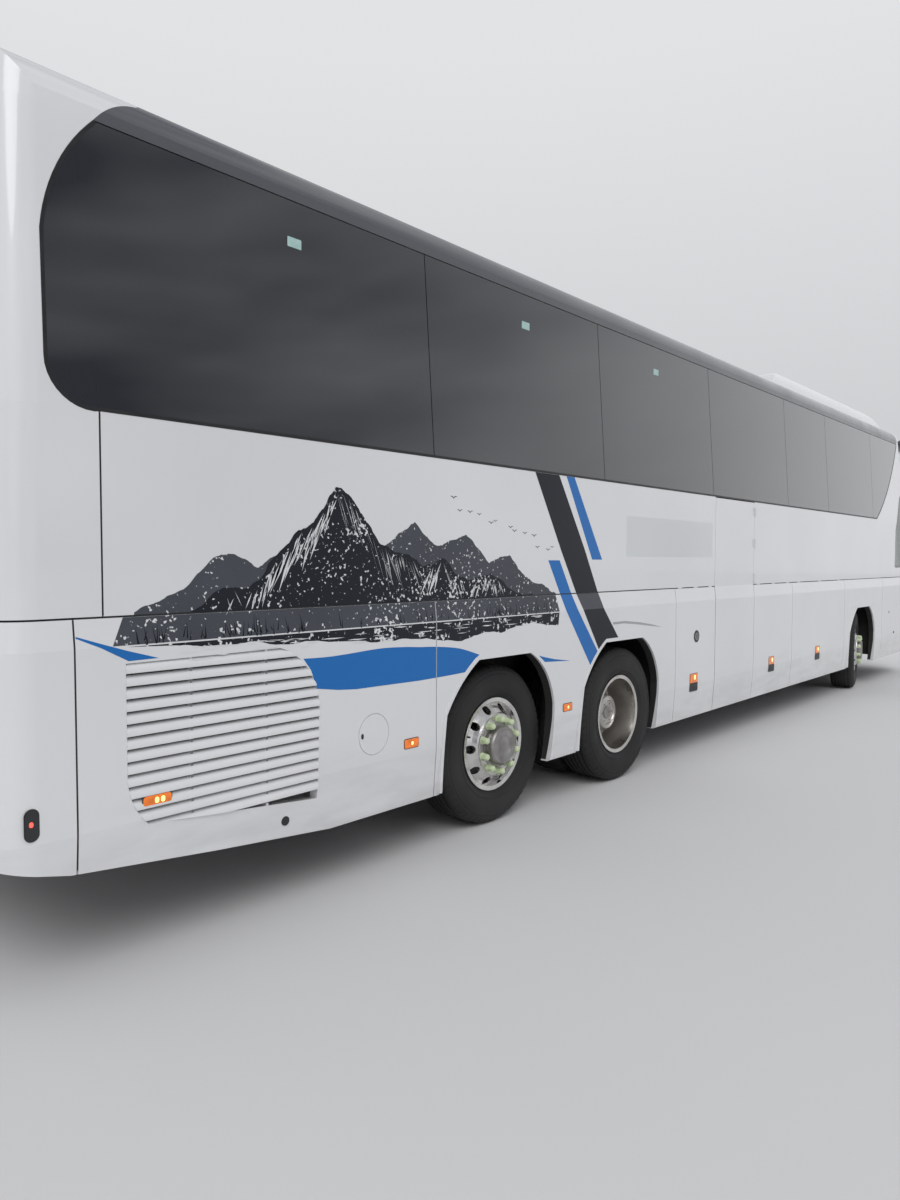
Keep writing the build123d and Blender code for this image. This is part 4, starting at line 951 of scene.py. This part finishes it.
bm = bmesh.new()
place = on_tail(0.0, 1.62)
add_face_plate(bm, place, 0.545, 0.14, 0.003, 0.012)
add_face_plate(bm, place, 0.52, 0.112, 0.0045, 0.01, 1, 0.001)
for shift in (-0.16, 0.16):
    add_face_plate(bm, place @ move(shift, 0, 0.088), 0.06, 0.018, 0.012, 0.006)
piece("rear_plate", bm, [PLASTIC, PLATE])

bm = bmesh.new()
for side in (RIGHT, LEFT):
    latch = on_tail(side * 0.47, 0.806)
    add_face_plate(bm, latch, 0.13, 0.046, 0.002, 0.02)
    add_face_plate(bm, latch @ move(0, 0, 0.004), 0.1, 0.022, 0.006, 0.01, 1, 0.001)
    add_stack(bm, on_tail(side * 0.66, 0.806), [(-0.003, 0.016), (0.0025, 0.016), (0.0035, 0.012)], 20, 1)
piece("engine_lid_latches", bm, [PLASTIC, HUB], body="engine_lid")

# Nose: lamps, screen bead, wipers and plate
bm = bmesh.new()
for side in (RIGHT, LEFT):
    for y, mat in ((0.795, 0), (0.92, 0), (1.04, 2)):
        add_round_lamp(bm, on_nose(side * y, 0.73), 0.046, 0.009, 0.009, 0.006, mat, 1)
    add_round_lamp(bm, on_nose(side * 0.8, 0.44), 0.042, 0.007, 0.012, 0.005, 0, 3, 36)
piece("nose_lamp_lenses", bm, [CLEAR, CHROME, AMBER, PLASTIC])

# Each wiper's pivot, elbow, and the ends of its blade, as (y, z)
WIPERS = (
    ((-0.16, 1.235), (-0.62, 1.475), (-0.12, 1.435), (-1.02, 1.545)),
    ((0.86, 1.235), (0.42, 1.475), (0.92, 1.435), (0.06, 1.545)),
)
bm = bmesh.new()
add_bead(bm, on_nose, 2.272, 2.092, 2.38, 0.156)
for pivot, elbow, tip_low, tip_high in WIPERS:
    add_stack(bm, on_nose(*pivot), [(-0.004, 0.03), (0.02, 0.028), (0.032, 0.018)], 24, 0)
    for ends, lift, r, sides in (((pivot, elbow), 0.024, 0.008, 8), ((tip_low, tip_high), 0.016, 0.009, 8),
                                 ((tip_low, tip_high), 0.005, 0.004, 6)):
        add_tube(bm, [on_nose(*p) @ Vector((0, lift, 0)) for p in fine_line(ends, 0.08)], r, sides)
piece("wipers_and_screen_bead", bm, SEAL)

bm = bmesh.new()
place = on_nose(0.0, 0.7)
add_face_plate(bm, place, 0.545, 0.136, 0.004, 0.012, 0, -0.01)
add_face_plate(bm, place, 0.52, 0.112, 0.0055, 0.01, 1, 0.001)
piece("front_plate", bm, [PLASTIC, PLATE])

bm = bmesh.new()
for side in (RIGHT, LEFT):
    for z, height in ((2.915, 0.3), (2.655, 0.13)):
        place = facing(*cast(MIRROR_FACE, (at(13.6), side * 1.13, z), (1, 0, 0)))
        add_face_plate(bm, place, 0.196, height, 0.003, 0.022, 0, -0.003)
        add_face_plate(bm, place, 0.18, height - 0.016, 0.0042, 0.018, 1, 0.001)
piece("mirror_glasses", bm, [PLASTIC, MIRROR])

# Fans in the roof unit: a dark mouth, wire rings and spokes that follow the roof's curve
FAN_R = 0.226
FAN_STATIONS, FAN_Y = (9.35, 10.0, 10.65), 0.42
FAN_STEPS, FAN_SPOKES = 40, 12
MOUTH = ((0.05, -0.004), (FAN_R, -0.004), (FAN_R, 0.0012), (0.17, 0.0012), (0.11, 0.0012), (0.05, 0.0012))
FAN_WIRES = ((0.05, 0.0016), (0.095, 0.0016), (0.14, 0.0016), (0.185, 0.0016), (FAN_R + 0.006, 0.0022))


def fan_point(s, y, r, angle, lift):
    """A point above the roof, at a radius and angle from a fan's middle."""
    spot = cast(ROOF_FACE, (at(s + r * cos(angle)), y + r * sin(angle), 5.0), (0, 0, -1))[0]
    return spot + Vector((0, 0, lift))


bm = bmesh.new()
for s in FAN_STATIONS:
    for y in (-FAN_Y, FAN_Y):
        turns = [2 * pi * k / FAN_STEPS for k in range(FAN_STEPS)]
        skin(bm, [[fan_point(s, y, r, a, lift) for a in turns] for r, lift in MOUTH], 1)
        for r, wire in FAN_WIRES:
            ring = [fan_point(s, y, r, a, 0.0024) for a in turns]
            add_tube(bm, ring + [ring[0]], wire, 6)
        for k in range(FAN_SPOKES):
            angle = 2 * pi * k / FAN_SPOKES
            spoke = [fan_point(s, y, r, angle, 0.0022) for r in (0.048, 0.1, 0.16, FAN_R + 0.004)]
            add_tube(bm, spoke, 0.0015, 6)
piece("roof_fans", bm, [PLASTIC, FRAME_DARK])

# Black liners inside the arches, behind a thin painted lip
AXLE_Z = 0.515
LIP_DEPTH = 0.013
LINER_IN = 1.2
SEARCH_Y, ARCH_REACH, ARCH_DEGREES = 1.235, 0.8, range(-24, 205, 2)
for side, word in BOTH:
    face = grid_tree("lower_panels_" + word)
    bm = bmesh.new()
    for joint in ("tag_spin_", "drive_spin_", "front_spin_"):
        hub = Vector((axle_x(joint + word), side * SEARCH_Y, AXLE_Z))
        runs = [[]]
        for step in ARCH_DEGREES:
            way = Vector((cos(radians(step)), 0, sin(radians(step))))
            spot, normal = cast(face, hub, way)
            if spot is None or (spot - hub).length > ARCH_REACH or abs(normal.y) > 0.5:
                runs.append([])
                continue
            rim = side_y(spot.z) - LIP_DEPTH
            section = ((-0.0005, rim), (-0.0005, LINER_IN), (0.002, LINER_IN), (0.002, rim))
            runs[-1].append([(spot.x - way.x * d, side * y, spot.z - way.z * d) for d, y in section])
        for run in filter(None, runs):
            skin(bm, run)
    piece("arch_liners_" + word, bm, FRAME_DARK)

# Rubber in the wide gaps between fixed panels: ends as (station, height), on both sides or the right alone
GAP_FILLS = [
    ((0.355, 1.47), (5.472, 1.47), (RIGHT, LEFT)),
    ((10.16, 1.47), (11.88, 1.47), (RIGHT, LEFT)),
    ((0.469, 1.48), (0.469, 2.278), (RIGHT, LEFT)),
    ((0.345, 0.48), (0.345, 1.462), (RIGHT, LEFT)),
    ((6.27, 0.34), (6.27, 2.276), (RIGHT,)),
]
HALF_GAP = 0.003
GAP_SECTION = ((-1, 0.0012), (1, 0.0012), (1, 0.01), (-1, 0.01))
bm = bmesh.new()
for start, end, sides in GAP_FILLS:
    ds, dz = (0.0, HALF_GAP) if start[1] == end[1] else (HALF_GAP, 0.0)
    for side in sides:
        skin(bm, [[(at(s + ds * a), side * (side_y(z + dz * a) - d), z + dz * a) for a, d in GAP_SECTION]
                  for s, z in fine_line([start, end], 0.1)])
piece("panel_gap_rubbers", bm, SEAL)

# Rubber bellows on the air springs: joint they stand by, offset from the axle, inner and outer radius
BELLOWS = [
    ("tag_spin_", 0.19, 0.094, 0.122),
    ("drive_spin_", 0.24, 0.094, 0.122),
    ("front_spin_", 0.15, 0.079, 0.098),
]
SPRING_Y, SPRING_Z, BELLOWS_HALF = 0.42, 0.575, 0.082
bm = bmesh.new()
for joint, offset, inner, outer in BELLOWS:
    wave = [(inner + (outer - inner) * (0.15 + 0.85 * abs(sin(pi * k / 10))), BELLOWS_HALF * (k / 10 - 1))
            for k in range(21)]
    for side, word in BOTH:
        for step in (-1, 1):
            place = move(axle_x(joint + word) + step * offset, side * SPRING_Y, SPRING_Z) @ rotate(90, "X")
            closed_ring(bm, wave + [(inner, BELLOWS_HALF), (inner, -BELLOWS_HALF)], place, 0, 32)
            for end in (-1, 1):
                cap = [(inner, 0.084), (outer * 0.94, 0.084), (outer * 0.94, 0.092), (inner, 0.092)]
                closed_ring(bm, [(r, end * y) for r, y in cap], place, 1, 32)
piece("air_spring_bellows", bm, [SEAL, IRON])


# Seats: crowned pads on shells, in place of the plain solids
def add_pad(bm, matrix, size, radius, crown, n, roll=2.0):
    """A stuffed pad: a rounded box (thick, wide, high) whose faces swell and whose sides pull in.
    roll places a groove across it, in half heights from the middle. Past 1 there is none."""
    half = Vector(size) / 2
    core = Vector([max(v - radius, 0.001) for v in half])
    marks = [sin(pi / 2 * (2 * k / n - 1)) for k in range(n + 1)]
    made = {}

    def corner(q):
        key = tuple(round(v, 5) for v in q)
        if key not in made:
            full = Vector([a * b for a, b in zip(q, half)])
            inner = Vector([max(-c, min(c, f)) for f, c in zip(full, core)])
            push = full - inner
            p = inner + push.normalized() * radius if push.length > 1e-9 else full
            u, v = p.y / half.y, p.z / half.z
            p.y *= 1 - 0.035 * (1 - v * v)
            p.z *= 1 - 0.02 * (1 - u * u)
            swell = crown * (1 - u ** 4) * (1 - v ** 4)
            if p.x > 0:
                bolster = 0.01 * max(0.0, 1 - abs(abs(u) - 0.8) / 0.2)
                groove = (0.006 * max(0.0, 1 - abs(abs(u) - 0.58) / 0.1)
                          + 0.004 * max(0.0, 1 - abs(v - roll) / 0.1))
                p.x += swell + (bolster - groove) * (1 - v ** 4)
            else:
                p.x -= swell * 0.25
            made[key] = bm.verts.new(matrix @ p)
        return made[key]

    for axis in range(3):
        b, c = (axis + 1) % 3, (axis + 2) % 3
        for sign in (-1, 1):
            for i in range(n):
                for j in range(n):
                    quad = []
                    for du, dv in ((0, 0), (1, 0), (1, 1), (0, 1)):
                        q = [0, 0, 0]
                        q[axis], q[b], q[c] = sign, marks[i + du], marks[j + dv]
                        quad.append(corner(q))
                    bm.faces.new(quad if sign > 0 else quad[::-1])


LEAN, FLAT = rotate(-12.5, "Y"), rotate(-90, "Y")
SEAT_PITCH, FIRST_ROW, ROWS = 0.79, 1.1, 13
SEAT_Y, BENCH_W, DRIVER_W = 0.69, 0.9, 0.52
SEAT_AHEAD, SEAT_BEHIND = 0.48, 0.24
DECK_Z, DRIVER_Z, DRIVER_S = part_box("cabin_floor")[1].z, 0.9, 12.25
# Tubes of a leg as (x, z), with their radius
LEG_TUBES = [
    (((0.1, 0.012), (0.12, 0.16), (0.16, 0.305)), 0.016),
    (((0.34, 0.012), (0.31, 0.16), (0.27, 0.305)), 0.016),
    (((0.07, 0.012), (0.37, 0.012)), 0.011),
]
ARMREST = ((-0.06, 0.545), (0.02, 0.575), (0.12, 0.58), (0.25, 0.578))


def seat_row(pads, shells, s, y, z, width, places):
    """One seat of one or two places, its shells, armrests and stand."""
    root = move(at(s), y, z)
    share = width / places
    for i in range(places):
        off = (i - (places - 1) / 2) * share
        cushion = root @ move(0.232, off, 0.378) @ rotate(-3, "Y") @ FLAT
        add_pad(pads, cushion @ rotate(180, "X"), (0.112, share - 0.018, 0.452), 0.04, 0.016, 10, -0.75)
        back, rest, shell = (root @ move(x, off, up) @ LEAN
                             for x, up in ((-0.062, 0.775), (-0.095, 1.052), (-0.11, 0.76)))
        add_pad(pads, back, (0.085, share - 0.022, 0.66), 0.036, 0.014, 10, -0.2)
        add_pad(pads, rest, (0.05, share * 0.62, 0.15), 0.022, 0.008, 6)
        add_pad(shells, shell, (0.03, share - 0.028, 0.64), 0.014, 0.002, 4)
    add_pad(shells, root @ move(0.22, 0, 0.312) @ FLAT, (0.026, width - 0.03, 0.4), 0.01, 0.0, 3)
    for side in (-1, 1):
        rise = root @ move(0.0, side * (width / 2 - 0.024), 0.0)
        add_tube(shells, [rise @ Vector((x, 0, up)) for x, up in ARMREST], 0.02, 8, 1)
        leg = root @ move(0, side * min(0.16, width * 0.22), 0)
        for points, r in LEG_TUBES:
            add_tube(shells, [leg @ Vector((x, 0, up)) for x, up in points], r, 8, 1)
    grip = root @ move(-0.165, 0, 1.118)
    end, bend = width / 2 - 0.04, width / 2 - 0.06
    hoop = spline([(-end, -0.06), (-bend, 0.0), (0.0, 0.012), (bend, 0.0), (end, -0.06)], 4)
    add_tube(shells, [grip @ Vector((0, across, up)) for across, up in hoop], 0.01, 8, 1)


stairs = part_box("rear_steps")
for side, word in BOTH:
    pads, shells = bmesh.new(), bmesh.new()
    for s in [FIRST_ROW + i * SEAT_PITCH for i in range(ROWS)]:
        over_stairs = at(s) + SEAT_AHEAD > stairs[0].x and at(s) - SEAT_BEHIND < stairs[1].x
        if side == LEFT or not over_stairs:
            seat_row(pads, shells, s, side * SEAT_Y, DECK_Z, BENCH_W, 2)
    if side == RIGHT:
        seat_row(pads, shells, DRIVER_S, -SEAT_Y, DRIVER_Z, DRIVER_W, 1)
    cushions = piece("seat_pads_" + word, pads, CLOTH, sharp=60)
    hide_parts("seats")
    piece("seat_shells_" + word, shells, [TRIM, PLASTIC])


# Instruments ahead of the steering wheel
wheel_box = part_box("steering_wheel")
driver_y = (wheel_box[0].y + wheel_box[1].y) / 2
DIALS = ((-0.125, 0.056), (0.125, 0.056), (-0.02, 0.03), (0.042, 0.022))
bm = bmesh.new()
hood = move(at(13.165), driver_y, 1.6) @ rotate(-14, "Y")
add_pad(bm, hood, (0.2, 0.52, 0.15), 0.03, 0.004, 6)
for shift, r in DIALS:
    dial = hood @ move(-0.103, 0, 0) @ rotate(90, "Z") @ move(shift, 0, 0)
    add_stack(bm, dial, [(-0.004, r), (0.001, r)], 32, 1)
    closed_ring(bm, [(r, -0.004), (r, 0.004), (r + 0.005, 0.004), (r + 0.006, -0.004)], dial, 2, 32)
    for a in [radians(-30 + 30 * k) for k in range(9)]:
        mark = [dial @ Vector((d * cos(a), 0.0018, d * sin(a))) for d in (r * 0.78, r * 0.94)]
        add_tube(bm, mark, 0.0009, 5, 3)
    add_tube(bm, [dial @ Vector((0, 0.0025, 0)), dial @ Vector((-r * 0.5, 0.0025, r * 0.55))], 0.0012, 5, 4)
screen = move(at(13.105), 0.02, 1.59) @ rotate(-16, "Y") @ rotate(90, "Z")
add_face_plate(bm, screen, 0.26, 0.16, 0.012, 0.014, 0, -0.06)
add_face_plate(bm, screen, 0.232, 0.132, 0.0135, 0.006, 1, 0.01)
for i in range(7):
    add_face_plate(bm, screen @ move(-0.36 + 0.03 * i, 0, -0.035), 0.022, 0.03, 0.01, 0.004, 0, -0.05)
piece("instruments", bm, [TRIM, BLACK, HUB, PLATE, RED])


# Studio and camera
def studio():
    """A wide pale floor, an even pale sky that shows soft cloud in what is glossy, and one broad soft sun."""
    bm = bmesh.new()
    bmesh.ops.create_grid(bm, x_segments=8, y_segments=8, size=120)
    mesh = bpy.data.meshes.new("floor")
    bm.to_mesh(mesh)
    bm.free()
    floor = new_object("floor", mesh)
    floor.location.z = cad_box[0][2]
    greys = (0.62,) * 3, (0.6324,) * 3
    mesh.materials.append(mottled("floor_pale", *greys, 0.85, 0.4, 0.02))

    world = bpy.data.worlds.new("sky")
    bpy.context.scene.world = world
    world.use_nodes = True
    sky = Nodes(world.node_tree, "Generated")
    even = sky.ramp(sky.along("Z"), (0.0, (0.66, 0.67, 0.69)), (0.5, (0.88, 0.89, 0.91)))
    cloud = sky.ramp(sky.noise(2.1, 3.0, (1.0, 1.0, 3.4)),
                     (0.36, (0.2, 0.21, 0.24)), (0.66, (0.92, 0.93, 0.96)))
    cloud = sky.mix(sky.ramp(sky.along("X"), (0.55, 0.0), (0.95, 1.0)), cloud, (0.95, 0.96, 0.98))
    glossy = sky.add("LightPath", {}).outputs["Is Glossy Ray"]
    ground = world.node_tree.nodes["Background"]
    sky.feed(ground.inputs["Color"], sky.mix(glossy, even, cloud))
    ground.inputs["Strength"].default_value = 0.86

    light = bpy.data.lights.new("sun", "SUN")
    light.energy = 1.0
    light.angle = radians(35)
    new_object("sun", light).rotation_euler = (radians(42), radians(-18), radians(-28))


# Camera from the photograph: place, turn, dip and roll, and its focal length in the photograph's pixels
PHOTO_HEIGHT = 1200
FOCAL_PX = 850.5
EYE = (-8.234, -4.519, 1.7)
YAW, PITCH, ROLL = 40.91, -2.66, 0.14


def camera():
    data = bpy.data.cameras.new("camera")
    data.sensor_fit = "VERTICAL"
    data.sensor_height = 36
    data.lens = FOCAL_PX / PHOTO_HEIGHT * data.sensor_height
    data.clip_end = 500
    obj = new_object("camera", data)
    obj.matrix_world = move(*EYE) @ rotate(YAW - 90, "Z") @ rotate(90 + PITCH, "X") @ rotate(ROLL, "Z")
    bpy.context.scene.camera = obj


studio()
camera()
bpy.context.scene.view_settings.view_transform = "Standard"
